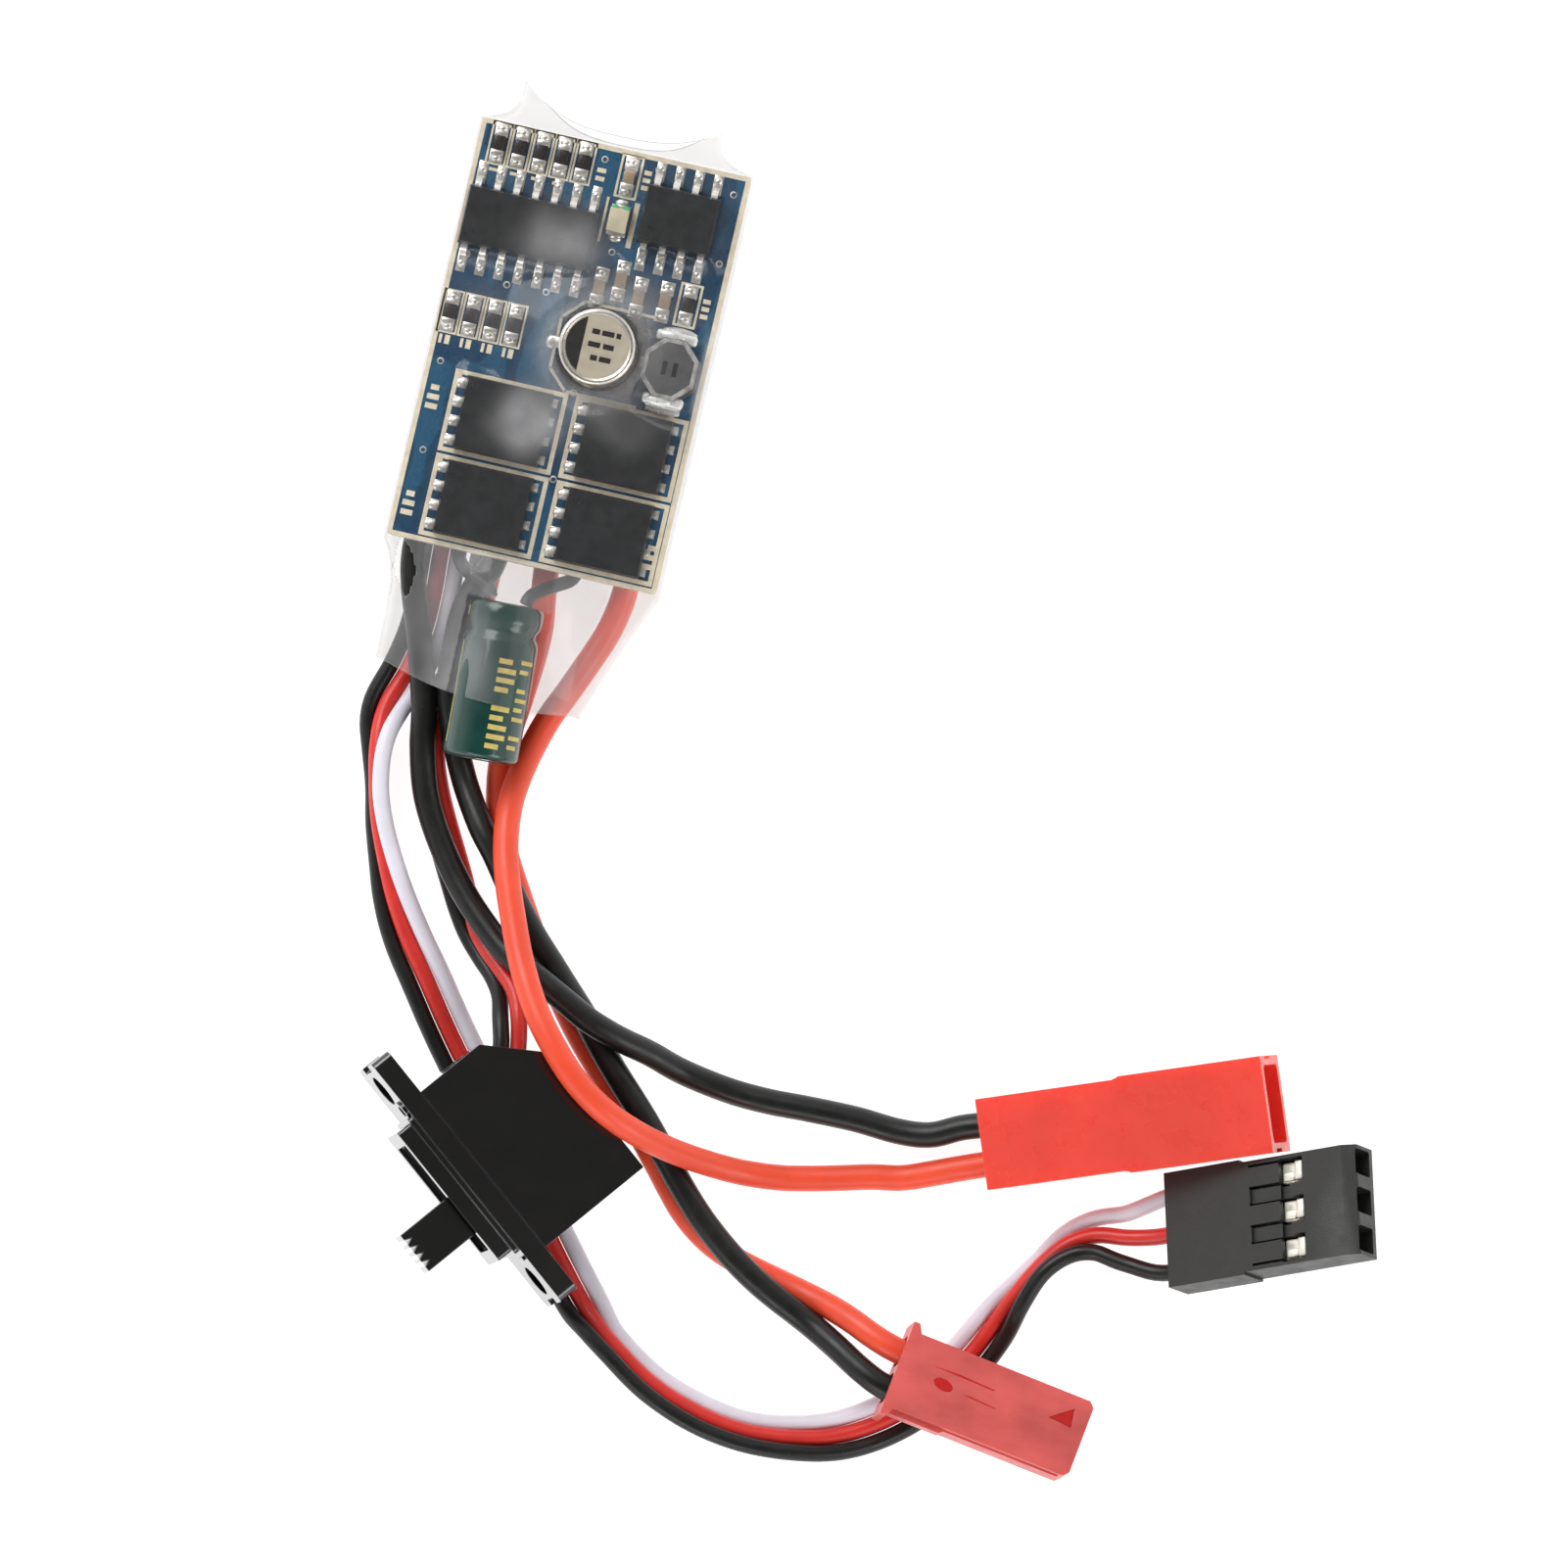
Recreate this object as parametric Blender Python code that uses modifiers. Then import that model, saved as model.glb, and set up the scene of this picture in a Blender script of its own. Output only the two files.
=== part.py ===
"""Brushed motor speed controller for small models, with its leads, connectors and switch.

Units are metres and +Z is up.  The origin is the middle of the module's flat
underside.  +Y runs along the board, away from the leads, and +X runs across it.
"""
import math

import bmesh
import bpy
from mathutils import Matrix, Vector

MM = 0.001

# ---------------------------------------------------------------- board
BOARD_WIDTH = 18.0 * MM
BOARD_LENGTH = 27.9 * MM
BOARD_THICK = 1.0 * MM
BOARD_UNDERSIDE = 3.3 * MM
BOARD_TOP = BOARD_UNDERSIDE + BOARD_THICK
SOLDER_GAP = 0.03 * MM

SOIC_BODY_DEPTH = 3.9 * MM
SOIC_TOP = BOARD_TOP + 1.65 * MM
SOIC_STANDOFF = 0.12 * MM
SOIC_LEAD_PITCH = 1.27 * MM
SOIC_LEAD_WIDTH = 0.42 * MM
SOIC_LEAD_SPAN = 6.0 * MM
SOIC_LEAD_HEIGHT = 0.45 * MM
CONTROLLER_CENTRE = (-4.42 * MM, 7.48 * MM)
CONTROLLER_LENGTH = 8.65 * MM
DRIVER_CENTRE = (5.05 * MM, 10.11 * MM)
DRIVER_LENGTH = 4.9 * MM

TRANSISTOR_BODY = (5.75 * MM, 4.9 * MM, 1.0 * MM)
TRANSISTOR_LEAD = (0.6 * MM, 0.45 * MM, 0.28 * MM)
TRANSISTOR_COLUMNS = (-3.22 * MM, 4.85 * MM)
TRANSISTOR_ROWS = (-5.17 * MM, -10.8 * MM)

CHIP_SIZE = (0.8 * MM, 1.6 * MM, 0.45 * MM)
TOP_ROW_START = (-7.57 * MM, 12.5 * MM)
SIDE_ROW_START = (-8.2 * MM, 1.1 * MM)
CHIP_ROW_PITCH = 1.415 * MM
SINGLE_CHIPS = (
    ("chip_capacitor_1", 1.2 * MM, 12.24 * MM),
    ("chip_capacitor_2", 0.91 * MM, 4.75 * MM),
    ("chip_capacitor_3", 2.2 * MM, 5.48 * MM),
    ("chip_capacitor_4", 3.56 * MM, 4.68 * MM),
    ("chip_capacitor_5", 5.3 * MM, 4.78 * MM),
    ("chip_resistor_10", 6.83 * MM, 4.9 * MM),
)
LED_CENTRE = (1.16 * MM, 9.28 * MM)
LED_SIZE = (1.25 * MM, 2.0 * MM, 0.8 * MM)

CAN_CENTRE = (1.96 * MM, 0.66 * MM)
CAN_BASE_WIDTH = 5.3 * MM
CAN_BASE_HEIGHT = 1.0 * MM
CAN_BASE_CHAMFER = 1.1 * MM
CAN_RADIUS = 2.5 * MM
CAN_TOP = BOARD_TOP + 5.4 * MM

INDUCTOR_CENTRE = (6.75 * MM, 0.43 * MM)
INDUCTOR_SIZE = (3.8 * MM, 5.1 * MM, 3.0 * MM)
INDUCTOR_CHAMFER = 1.1 * MM

# ---------------------------------------------------------------- bulk capacitor
BULK_START = Vector((-0.26, -16.64, 4.6)) * MM
BULK_END = Vector((0.26, -26.98, 4.6)) * MM
BULK_RADIUS = 2.5 * MM
BULK_WRAP_THICK = 0.1 * MM
BULK_SEAL_RADIUS = 2.05 * MM
BULK_SEAL_DEPTH = 0.7 * MM
BULK_LEAD_DIAMETER = 0.9 * MM
BULK_LEAD_1 = ((0.95, -16.45, 4.6), (1.1, -15.9, 4.45), (1.7, -15.3, 3.95), (2.6, -14.7, 3.25),
               (3.4, -14.1, 2.8), (3.7, -13.0, 2.72), (3.7, -12.0, 2.72))
BULK_LEAD_2 = ((-1.4, -16.45, 4.6), (-1.7, -15.9, 4.5), (-2.6, -15.5, 4.05), (-3.6, -15.0, 3.4),
               (-4.2, -14.2, 2.85), (-4.4, -13.0, 2.72), (-4.4, -12.0, 2.72))

# ---------------------------------------------------------------- sleeve
SLEEVE_WALL = 0.15 * MM
SLEEVE_SIDE_GAP = 0.1 * MM
SLEEVE_CLEARANCE = 0.25 * MM
SLEEVE_SLACK = 0.9 * MM
SLEEVE_SHOULDER = 0.55 * MM
SLEEVE_EDGE_STEP = 0.3 * MM
SLEEVE_TENT_SLOPE = 1.4
SLEEVE_TOP_POINTS = 21
SLEEVE_FLOOR_POINTS = 7

# ---------------------------------------------------------------- leads, millimetres
POWER_WIRE_DIAMETER = 1.7 * MM
SIGNAL_WIRE_DIAMETER = 1.1 * MM
SIGNAL_WIRE_PITCH = 1.14
RECEIVER_PITCH = 2.54
POWER_WIRE_STEP = 2.6 * MM
SIGNAL_WIRE_STEP = 2.2 * MM

BATTERY_BLACK_ROUTE = (
    (-7.0, -10.5, 2.35), (-7.1, -14.4, 2.38), (-6.6, -16.9, 2.4), (-5.5, -20.0, 2.4), (-4.2, -24.3, 2.4),
    (-3.7, -27.0, 2.15), (-2.7, -30.1, 2.15), (-0.9, -33.1, 2.3), (1.4, -35.9, 2.8), (4.2, -38.4, 3.6),
    (5.8, -39.3, 4.1), (7.4, -40.1, 4.45), (9.2, -41.0, 4.6), (11.0, -41.9, 4.65), (13.1, -42.6, 4.0),
    (15.3, -43.1, 2.8), (17.7, -43.8, 1.5), (20.9, -44.3, 0.92), (23.6, -44.4, 0.88), (26.1, -44.3, 0.88),
    (29.3, -44.25, 0.88), (32.2, -44.4, 0.95), (34.3, -44.15, 1.25), (36.15, -43.25, 1.7),
    (37.8, -42.66, 2.1), (40.25, -41.72, 2.73),
)
BATTERY_RED_ROUTE = (
    (6.9, -10.5, 2.3), (6.9, -13.9, 1.9), (6.7, -15.6, 1.4), (6.2, -17.5, 1.12), (4.9, -20.8, 1.1),
    (3.9, -23.2, 1.25), (3.3, -25.3, 1.6), (2.9, -27.5, 2.3), (2.8, -29.5, 3.1), (3.1, -31.7, 4.0),
    (3.7, -33.8, 4.8), (4.6, -36.1, 5.5), (6.0, -39.2, 6.5), (7.6, -41.9, 7.6), (9.2, -43.9, 8.2),
    (11.15, -45.85, 8.2), (13.35, -47.35, 7.85), (15.6, -48.3, 6.7), (18.0, -48.9, 4.8), (20.3, -49.2, 3.1),
    (22.8, -49.3, 1.7), (25.2, -49.1, 1.05), (27.2, -48.7, 0.9), (29.2, -48.2, 0.88), (31.1, -47.7, 0.92),
    (33.1, -47.3, 1.0), (34.9, -46.6, 1.25), (36.55, -45.9, 1.6), (38.7, -45.04, 2.1), (41.15, -44.1, 2.73),
)
MOTOR_BLACK_ROUTE = (
    (-1.7, -10.5, 2.35), (-1.9, -14.2, 2.35), (-2.65, -15.9, 2.32), (-3.1, -17.8, 2.3), (-3.1, -20.3, 2.28),
    (-2.9, -22.8, 2.25), (-2.3, -24.6, 2.12), (-1.6, -26.4, 1.5), (-0.6, -28.4, 1.5), (0.4, -30.0, 2.0),
    (1.4, -31.4, 2.5), (2.6, -32.8, 2.7), (4.4, -35.2, 2.7), (6.1, -37.2, 2.7), (7.6, -38.7, 2.7),
    (9.1, -40.2, 2.7), (10.6, -41.7, 2.7), (11.9, -43.2, 2.7), (13.4, -44.8, 2.7), (15.9, -47.3, 2.65),
    (17.7, -49.3, 2.6), (19.2, -51.0, 2.6), (21.0, -52.8, 2.7), (23.1, -54.5, 2.75), (25.1, -55.8, 2.7),
    (26.8, -56.7, 2.4), (28.45, -57.45, 2.3), (30.1, -58.25, 2.6), (31.7, -59.1, 3.4), (33.5, -60.1, 4.22),
    (35.28, -60.81, 4.49), (37.93, -61.23, 4.16),
)
MOTOR_RED_ROUTE = (
    (1.5, -10.5, 2.35), (1.5, -13.0, 2.1), (1.7, -15.3, 1.4), (2.0, -17.5, 1.12), (2.0, -19.5, 1.08),
    (1.8, -22.1, 1.05), (1.5, -25.2, 0.95), (1.5, -27.0, 0.9), (1.8, -28.9, 0.88), (2.3, -30.7, 0.88),
    (3.2, -32.7, 0.88), (4.7, -35.2, 0.88), (6.4, -37.8, 0.88), (8.3, -40.3, 0.88), (10.4, -42.9, 0.88),
    (12.6, -45.2, 0.88), (15.1, -47.6, 0.88), (17.2, -49.9, 0.88), (18.4, -51.3, 0.88), (19.5, -52.5, 0.88),
    (20.7, -53.5, 0.88), (22.0, -54.3, 0.88), (23.5, -54.9, 0.88), (25.0, -55.3, 0.88), (26.8, -55.7, 0.88),
    (28.8, -56.15, 1.25), (30.45, -56.55, 2.1), (32.1, -57.1, 3.1), (33.8, -57.8, 3.85), (35.6, -58.34, 4.05),
    (38.25, -58.76, 3.72),
)
# Flat cables: place of the middle, roll in degrees and spacing of the wires.
RECEIVER_CABLE_ROUTE = (
    (-5.5, -10.5, 0.85, 0, SIGNAL_WIRE_PITCH), (-5.5, -14.1, 0.85, 0, SIGNAL_WIRE_PITCH),
    (-5.35, -16.8, 0.85, 0, SIGNAL_WIRE_PITCH), (-5.4, -19.6, 0.85, 0, SIGNAL_WIRE_PITCH),
    (-5.9, -22.3, 0.85, -2, SIGNAL_WIRE_PITCH), (-6.7, -24.9, 1.1, -22, SIGNAL_WIRE_PITCH),
    (-6.65, -27.3, 1.6, -58, SIGNAL_WIRE_PITCH), (-6.1, -29.9, 1.7, -74, SIGNAL_WIRE_PITCH),
    (-5.4, -32.3, 1.68, -68, SIGNAL_WIRE_PITCH), (-4.4, -34.7, 1.55, -56, SIGNAL_WIRE_PITCH),
    (-3.3, -37.0, 1.33, -38, SIGNAL_WIRE_PITCH), (-1.9, -39.3, 1.05, -20, SIGNAL_WIRE_PITCH),
    (-0.1, -41.7, 0.8, -8, SIGNAL_WIRE_PITCH), (1.6, -44.0, 0.66, 0, SIGNAL_WIRE_PITCH),
    (3.1, -45.9, 0.62, 0, SIGNAL_WIRE_PITCH), (6.4, -49.9, 0.62, 0, SIGNAL_WIRE_PITCH),
    (9.5, -53.7, 0.6, 0, SIGNAL_WIRE_PITCH), (12.1, -57.0, 0.62, 2, SIGNAL_WIRE_PITCH),
    (14.4, -59.7, 0.85, 14, SIGNAL_WIRE_PITCH), (15.8, -61.05, 1.35, 42, SIGNAL_WIRE_PITCH),
    (17.1, -62.1, 1.52, 54, SIGNAL_WIRE_PITCH), (20.1, -64.0, 1.5, 53, SIGNAL_WIRE_PITCH),
    (23.4, -65.2, 1.45, 48, SIGNAL_WIRE_PITCH), (26.7, -65.7, 1.42, 46, SIGNAL_WIRE_PITCH),
    (30.0, -65.4, 1.28, 36, SIGNAL_WIRE_PITCH), (33.0, -64.5, 0.98, 18, SIGNAL_WIRE_PITCH),
    (35.7, -62.8, 0.7, 2, SIGNAL_WIRE_PITCH), (37.9, -60.6, 0.64, 0, SIGNAL_WIRE_PITCH),
    (39.7, -58.1, 0.62, 0, SIGNAL_WIRE_PITCH), (40.9, -55.7, 0.95, 18, SIGNAL_WIRE_PITCH),
    (42.0, -53.2, 1.55, 52, SIGNAL_WIRE_PITCH), (43.2, -50.9, 1.9, 68, SIGNAL_WIRE_PITCH),
    (44.6, -49.1, 2.15, 52, SIGNAL_WIRE_PITCH), (46.3, -48.1, 2.55, 30, 1.3),
    (48.3, -47.8, 3.2, 16, 1.75), (50.05, -47.36, 3.82, 14, 2.35),
    (51.3, -46.85, 4.5, 15, RECEIVER_PITCH), (52.65, -46.28, 5.27, 15, RECEIVER_PITCH),
)
SWITCH_CABLE_ROUTE = (
    (-2.45, -10.5, 0.85, 0, SIGNAL_WIRE_PITCH), (-2.45, -14.3, 0.85, 0, SIGNAL_WIRE_PITCH),
    (-2.45, -17.5, 0.85, 0, SIGNAL_WIRE_PITCH), (-2.55, -20.8, 0.8, 0, SIGNAL_WIRE_PITCH),
    (-3.4, -24.0, 0.72, 0, SIGNAL_WIRE_PITCH), (-3.55, -26.0, 0.65, 0, SIGNAL_WIRE_PITCH),
    (-3.2, -27.8, 0.62, 0, SIGNAL_WIRE_PITCH), (-2.5, -29.6, 0.62, 0, SIGNAL_WIRE_PITCH),
    (-1.6, -31.4, 0.62, 0, SIGNAL_WIRE_PITCH), (-0.6, -33.2, 0.62, 0, SIGNAL_WIRE_PITCH),
    (0.35, -34.9, 0.68, -8, SIGNAL_WIRE_PITCH), (1.2, -36.5, 0.9, -28, SIGNAL_WIRE_PITCH),
    (2.1, -38.0, 1.2, -48, SIGNAL_WIRE_PITCH), (3.2, -39.2, 1.65, -52, SIGNAL_WIRE_PITCH),
    (4.4, -40.3, 2.4, -48, SIGNAL_WIRE_PITCH), (5.4, -41.5, 3.3, -28, 1.2),
    (5.96, -42.95, 4.14, -6, 1.2), (6.34, -44.41, 4.39, 12, SIGNAL_WIRE_PITCH),
    (6.49, -45.49, 4.49, 12, SIGNAL_WIRE_PITCH),
)

# ---------------------------------------------------------------- connectors
BATTERY_REAR = Vector((38.25, -43.85, 2.1)) * MM
BATTERY_TURN = (0.0, math.radians(-13.5), math.radians(20.9))
BATTERY_BLOCK = (9.3 * MM, 5.95 * MM, 4.0 * MM)
BATTERY_SHROUD = (9.8 * MM, 6.3 * MM, 5.0 * MM)
BATTERY_WALL = 0.6 * MM
MOTOR_REAR = Vector((35.44, -59.58, 4.25)) * MM
MOTOR_TURN = (math.radians(-10.0), math.radians(6.5), math.radians(-8.8))
MOTOR_BLOCK = (12.9 * MM, 5.2 * MM, 3.6 * MM)
MOTOR_FLANGE = (0.65 * MM, 6.4 * MM, 3.9 * MM)
POWER_PIN_OFFSET = 1.27 * MM
POWER_BORE = 2.1 * MM
MOTOR_BORE = 2.05 * MM
RECEIVER_REAR = Vector((51.3, -46.85, 4.5)) * MM
RECEIVER_TURN = (math.radians(-15.0), math.radians(-28.0), math.radians(22.7))
RECEIVER_BLOCK = (14.0 * MM, 7.62 * MM, 2.54 * MM)
RECEIVER_PIN_PITCH = 2.54 * MM
RECEIVER_BORE = 1.7 * MM
RECEIVER_WINDOW = (2.2 * MM, 1.6 * MM)
RECEIVER_WINDOW_CENTRE = 9.5 * MM

# ---------------------------------------------------------------- switch
SWITCH_CENTRE = Vector((6.18, -53.2, 5.4)) * MM
SWITCH_TURN = (math.radians(-11.5), math.radians(4.5), math.radians(-38.4))
SWITCH_BODY = (12.9 * MM, 8.3 * MM, 6.0 * MM)
SWITCH_CORNER = 2.4 * MM
SWITCH_CAVITY = (11.3 * MM, 6.9 * MM, 4.4 * MM)
SWITCH_LEAD_SLOT = (3.0 * MM, 1.7 * MM)
PLATE_SIZE = (19.7 * MM, 1.4 * MM, 6.0 * MM)
PLATE_HOLE_OFFSET = 7.9 * MM
PLATE_HOLE_RADIUS = 1.1 * MM
COLLAR_SIZE = (10.6 * MM, 1.4 * MM, 4.6 * MM)
LEVER_STEM = (3.0 * MM, 2.4 * MM)
LEVER_REACH = 3.85 * MM
LEVER_CARRIER = (6.0 * MM, 2.1 * MM, 3.6 * MM)
LEVER_REST = 1.5 * MM
LEVER_TRAVEL = 3.0 * MM
LEVER_PLAY = 0.15 * MM
BRIDGE_SIZE = (4.0 * MM, 0.4 * MM, 2.0 * MM)
BASE_SIZE = (10.9 * MM, 0.8 * MM, 4.0 * MM)
BASE_DEPTH = 3.9 * MM
TERMINAL_SIZE = (0.5 * MM, 2.4 * MM, 1.5 * MM)
TERMINAL_SPACING = 3.0 * MM
TERMINAL_DEPTH = 3.15 * MM

# ---------------------------------------------------------------- materials
COLOURS = {
    "clear_film": ((0.85, 0.86, 0.86), 0.35, 0.0),
    "solder_mask": ((0.02, 0.11, 0.24), 0.35, 0.0),
    "chip_plastic": ((0.02, 0.02, 0.022), 0.5, 0.0),
    "chip_ceramic": ((0.16, 0.13, 0.1), 0.5, 0.0),
    "ferrite": ((0.05, 0.05, 0.055), 0.6, 0.0),
    "led_lens": ((0.7, 0.75, 0.55), 0.3, 0.0),
    "bare_aluminium": ((0.75, 0.74, 0.7), 0.3, 1.0),
    "green_wrap": ((0.005, 0.07, 0.05), 0.25, 0.0),
    "black_plastic": ((0.015, 0.014, 0.013), 0.3, 0.0),
    "black_silicone": ((0.016, 0.016, 0.015), 0.45, 0.0),
    "red_silicone": ((0.86, 0.08, 0.03), 0.4, 0.0),
    "white_silicone": ((0.78, 0.76, 0.82), 0.4, 0.0),
    "red_plastic": ((0.85, 0.05, 0.04), 0.3, 0.0),
    "pink_red_plastic": ((0.72, 0.12, 0.1), 0.45, 0.0),
    "tinned_metal": ((0.75, 0.73, 0.68), 0.3, 1.0),
}


# ---------------------------------------------------------------- scene helpers
def clear_scene():
    for old in list(bpy.data.objects):
        bpy.data.objects.remove(old, do_unlink=True)


def new_collection(name):
    collection = bpy.data.collections.new(name)
    bpy.context.scene.collection.children.link(collection)
    return collection


def make_material(name):
    colour, roughness, metallic = COLOURS[name]
    material = bpy.data.materials.new(name)
    material.use_nodes = True
    shader = material.node_tree.nodes["Principled BSDF"]
    shader.inputs["Base Color"].default_value = (*colour, 1.0)
    shader.inputs["Roughness"].default_value = roughness
    shader.inputs["Metallic"].default_value = metallic
    return material


clear_scene()
PARTS = new_collection("speed_controller")
CUTTERS = new_collection("cutters")
MATERIALS = {name: make_material(name) for name in COLOURS}


def place(obj, material, parent=None, location=(0.0, 0.0, 0.0)):
    """Link a finished object into the part, with its material and parent."""
    PARTS.objects.link(obj)
    obj.data.materials.append(MATERIALS[material])
    obj.parent = parent
    obj.location = location
    return obj


def make_frame(name, location, turn=(0.0, 0.0, 0.0), parent=None):
    frame = bpy.data.objects.new(name, None)
    frame.empty_display_size = 0.004
    frame.location = location
    frame.rotation_euler = turn
    frame.parent = parent
    PARTS.objects.link(frame)
    return frame


def box_mesh(name, boxes):
    """A mesh of boxes, each given by its centre and its size."""
    mesh_edit = bmesh.new()
    for centre, size in boxes:
        matrix = Matrix.Translation(centre) @ Matrix.Diagonal((*size, 1.0))
        bmesh.ops.create_cube(mesh_edit, size=1.0, matrix=matrix)
    mesh = bpy.data.meshes.new(name)
    mesh_edit.to_mesh(mesh)
    mesh_edit.free()
    return mesh


def box(name, centre, size, material, parent=None, edge=0.0):
    obj = place(bpy.data.objects.new(name, box_mesh(name, [(centre, size)])), material, parent)
    if edge:
        bevel = obj.modifiers.new("edges", "BEVEL")
        bevel.width = edge
        bevel.segments = 1
    return obj


def combine(target, name, mesh, operation, parent=None):
    """Cut a tool mesh from the target, or join it on; the tool is a hidden guide."""
    tool = bpy.data.objects.new(name, mesh)
    CUTTERS.objects.link(tool)
    tool.parent = parent
    tool.hide_render = True
    tool.display_type = "WIRE"
    modifier = target.modifiers.new(name, "BOOLEAN")
    modifier.operation = operation
    modifier.solver = "EXACT"
    modifier.object = tool
    return tool


def cylinder_mesh(name, start, end, radius, segments=24):
    axis = Vector(end) - Vector(start)
    turn = axis.to_track_quat("Z", "Y").to_matrix().to_4x4()
    matrix = Matrix.Translation((Vector(start) + Vector(end)) / 2) @ turn
    mesh_edit = bmesh.new()
    bmesh.ops.create_cone(mesh_edit, cap_ends=True, segments=segments, radius1=radius,
                          radius2=radius, depth=axis.length, matrix=matrix)
    mesh = bpy.data.meshes.new(name)
    mesh_edit.to_mesh(mesh)
    mesh_edit.free()
    return mesh


def turned(name, profile, material, parent=None, steps=24, location=(0.0, 0.0, 0.0), rotation=None):
    """A profile of (radius, height) points, top to bottom on the outer side, turned about Z."""
    mesh = bpy.data.meshes.new(name)
    points = [(radius, 0.0, height) for radius, height in profile]
    edges = [(index, index + 1) for index in range(len(points) - 1)]
    mesh.from_pydata(points, edges, [])
    obj = place(bpy.data.objects.new(name, mesh), material, parent, location)
    if rotation is not None:
        obj.rotation_mode = "QUATERNION"
        obj.rotation_quaternion = rotation
    screw = obj.modifiers.new("turn", "SCREW")
    screw.steps = steps
    screw.render_steps = steps
    screw.use_merge_vertices = True
    screw.merge_threshold = 0.00001
    screw.use_smooth_shade = True
    return obj


# ---------------------------------------------------------------- routes
def smooth_route(points, step):
    """Read evenly spaced points from a smooth curve through the route's own points."""
    knots = [Vector(point) for point in points]
    ends = [2 * knots[0] - knots[1]] + knots + [2 * knots[-1] - knots[-2]]
    dense = []
    fine = 24
    for index in range(1, len(ends) - 2):
        before, here, there, after = ends[index - 1:index + 3]
        for part in range(fine):
            t = part / fine
            dense.append(0.5 * (2 * here + (there - before) * t
                                + (2 * before - 5 * here + 4 * there - after) * t ** 2
                                + (3 * here - before - 3 * there + after) * t ** 3))
    dense.append(knots[-1])
    lengths = [0.0]
    for first, second in zip(dense, dense[1:]):
        lengths.append(lengths[-1] + (Vector(second[:3]) - Vector(first[:3])).length)
    count = max(2, round(lengths[-1] / step))
    even = []
    cursor = 0
    for number in range(count + 1):
        wanted = lengths[-1] * number / count
        while cursor < len(lengths) - 2 and lengths[cursor + 1] < wanted:
            cursor += 1
        span = lengths[cursor + 1] - lengths[cursor]
        share = (wanted - lengths[cursor]) / span if span else 0.0
        even.append(dense[cursor].lerp(dense[cursor + 1], share))
    return even


def cable_sides(route, step, place_across):
    """The path of one wire of a flat cable, place_across spacings right of its middle."""
    middle = smooth_route([Vector(point) for point in route], step)
    path = []
    for index, point in enumerate(middle):
        before = Vector(middle[max(index - 1, 0)][:3])
        after = Vector(middle[min(index + 1, len(middle) - 1)][:3])
        forward = (after - before).normalized()
        right = forward.cross(Vector((0.0, 0.0, 1.0))).normalized()
        above = right.cross(forward)
        roll = math.radians(point[3])
        aside = (right * math.cos(roll) + above * math.sin(roll)) * point[4] * place_across
        path.append(Vector(point[:3]) + aside)
    return path


def wire(name, path, diameter, material):
    """A round wire along the points of path, which are in millimetres."""
    curve = bpy.data.curves.new(name, "CURVE")
    curve.dimensions = "3D"
    curve.bevel_depth = diameter / 2
    curve.bevel_resolution = 2
    curve.use_fill_caps = True
    spline = curve.splines.new("POLY")
    spline.points.add(len(path) - 1)
    for point, target in zip(spline.points, path):
        point.co = (*(Vector(target[:3]) * MM), 1.0)
    return place(bpy.data.objects.new(name, curve), material)


# ---------------------------------------------------------------- sleeve
def sleeve_supports():
    """What holds the film up: centre, half sizes and top of each tall piece."""
    half_soic = SOIC_BODY_DEPTH / 2
    supports = [
        (*CONTROLLER_CENTRE, CONTROLLER_LENGTH / 2, half_soic, SOIC_TOP),
        (*DRIVER_CENTRE, DRIVER_LENGTH / 2, half_soic, SOIC_TOP),
        (*CAN_CENTRE, CAN_RADIUS, CAN_RADIUS, CAN_TOP),
        (*INDUCTOR_CENTRE, INDUCTOR_SIZE[0] / 2, INDUCTOR_SIZE[1] / 2, BOARD_TOP + INDUCTOR_SIZE[2]),
    ]
    for column in TRANSISTOR_COLUMNS:
        for row in TRANSISTOR_ROWS:
            supports.append((column, row, TRANSISTOR_BODY[0] / 2, TRANSISTOR_BODY[1] / 2,
                             BOARD_TOP + TRANSISTOR_BODY[2]))
    middle = (BULK_START + BULK_END) / 2
    supports.append((middle.x, middle.y, BULK_RADIUS * 0.45, (BULK_START - BULK_END).length / 2,
                     BULK_START.z + BULK_RADIUS))
    return supports


def film_floor_level(y):
    """Height of the film over the flat board, falling to the lowest wires at the mouth."""
    board_end = -BOARD_LENGTH / 2
    board_level = BOARD_TOP + 0.62 * MM
    fall = min(max((board_end - y) / (8.0 * MM), 0.0), 1.0)
    rise = min(max((y - BOARD_LENGTH / 2) / (2.5 * MM), 0.0), 1.0)
    return board_level - 1.5 * MM * fall - 0.7 * MM * rise


def film_height(x, y, left, right):
    """Height of the film's inner face above the point (x, y)."""
    level = film_floor_level(y)
    for centre_x, centre_y, half_x, half_y, top in sleeve_supports():
        away_x = max(abs(x - centre_x) - half_x, 0.0)
        away_y = max(abs(y - centre_y) - half_y, 0.0)
        away = math.hypot(away_x, away_y)
        fall = SLEEVE_TENT_SLOPE * max(away - SLEEVE_SLACK, 0.0)
        level = max(level, top + SLEEVE_CLEARANCE - fall)
    edge = min(x - left, right - x)
    edge_limit = film_floor_level(y) - 0.42 * MM + 12.0 * max(edge, 0.0)
    return min(level, edge_limit)


def sleeve_sides(y):
    """Left and right inner walls of the sleeve at a place along it."""
    half = BOARD_WIDTH / 2 + SLEEVE_SIDE_GAP
    board_end = -BOARD_LENGTH / 2 - 0.5 * MM
    if y >= board_end:
        return -half, half
    way = min((board_end - y) / (9.0 * MM), 1.0)
    pinch = math.sin(math.pi * min(way * 1.1, 1.0)) * 0.6 * MM
    return -half + 1.0 * MM * way + pinch, half - 3.35 * MM * way


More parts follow.
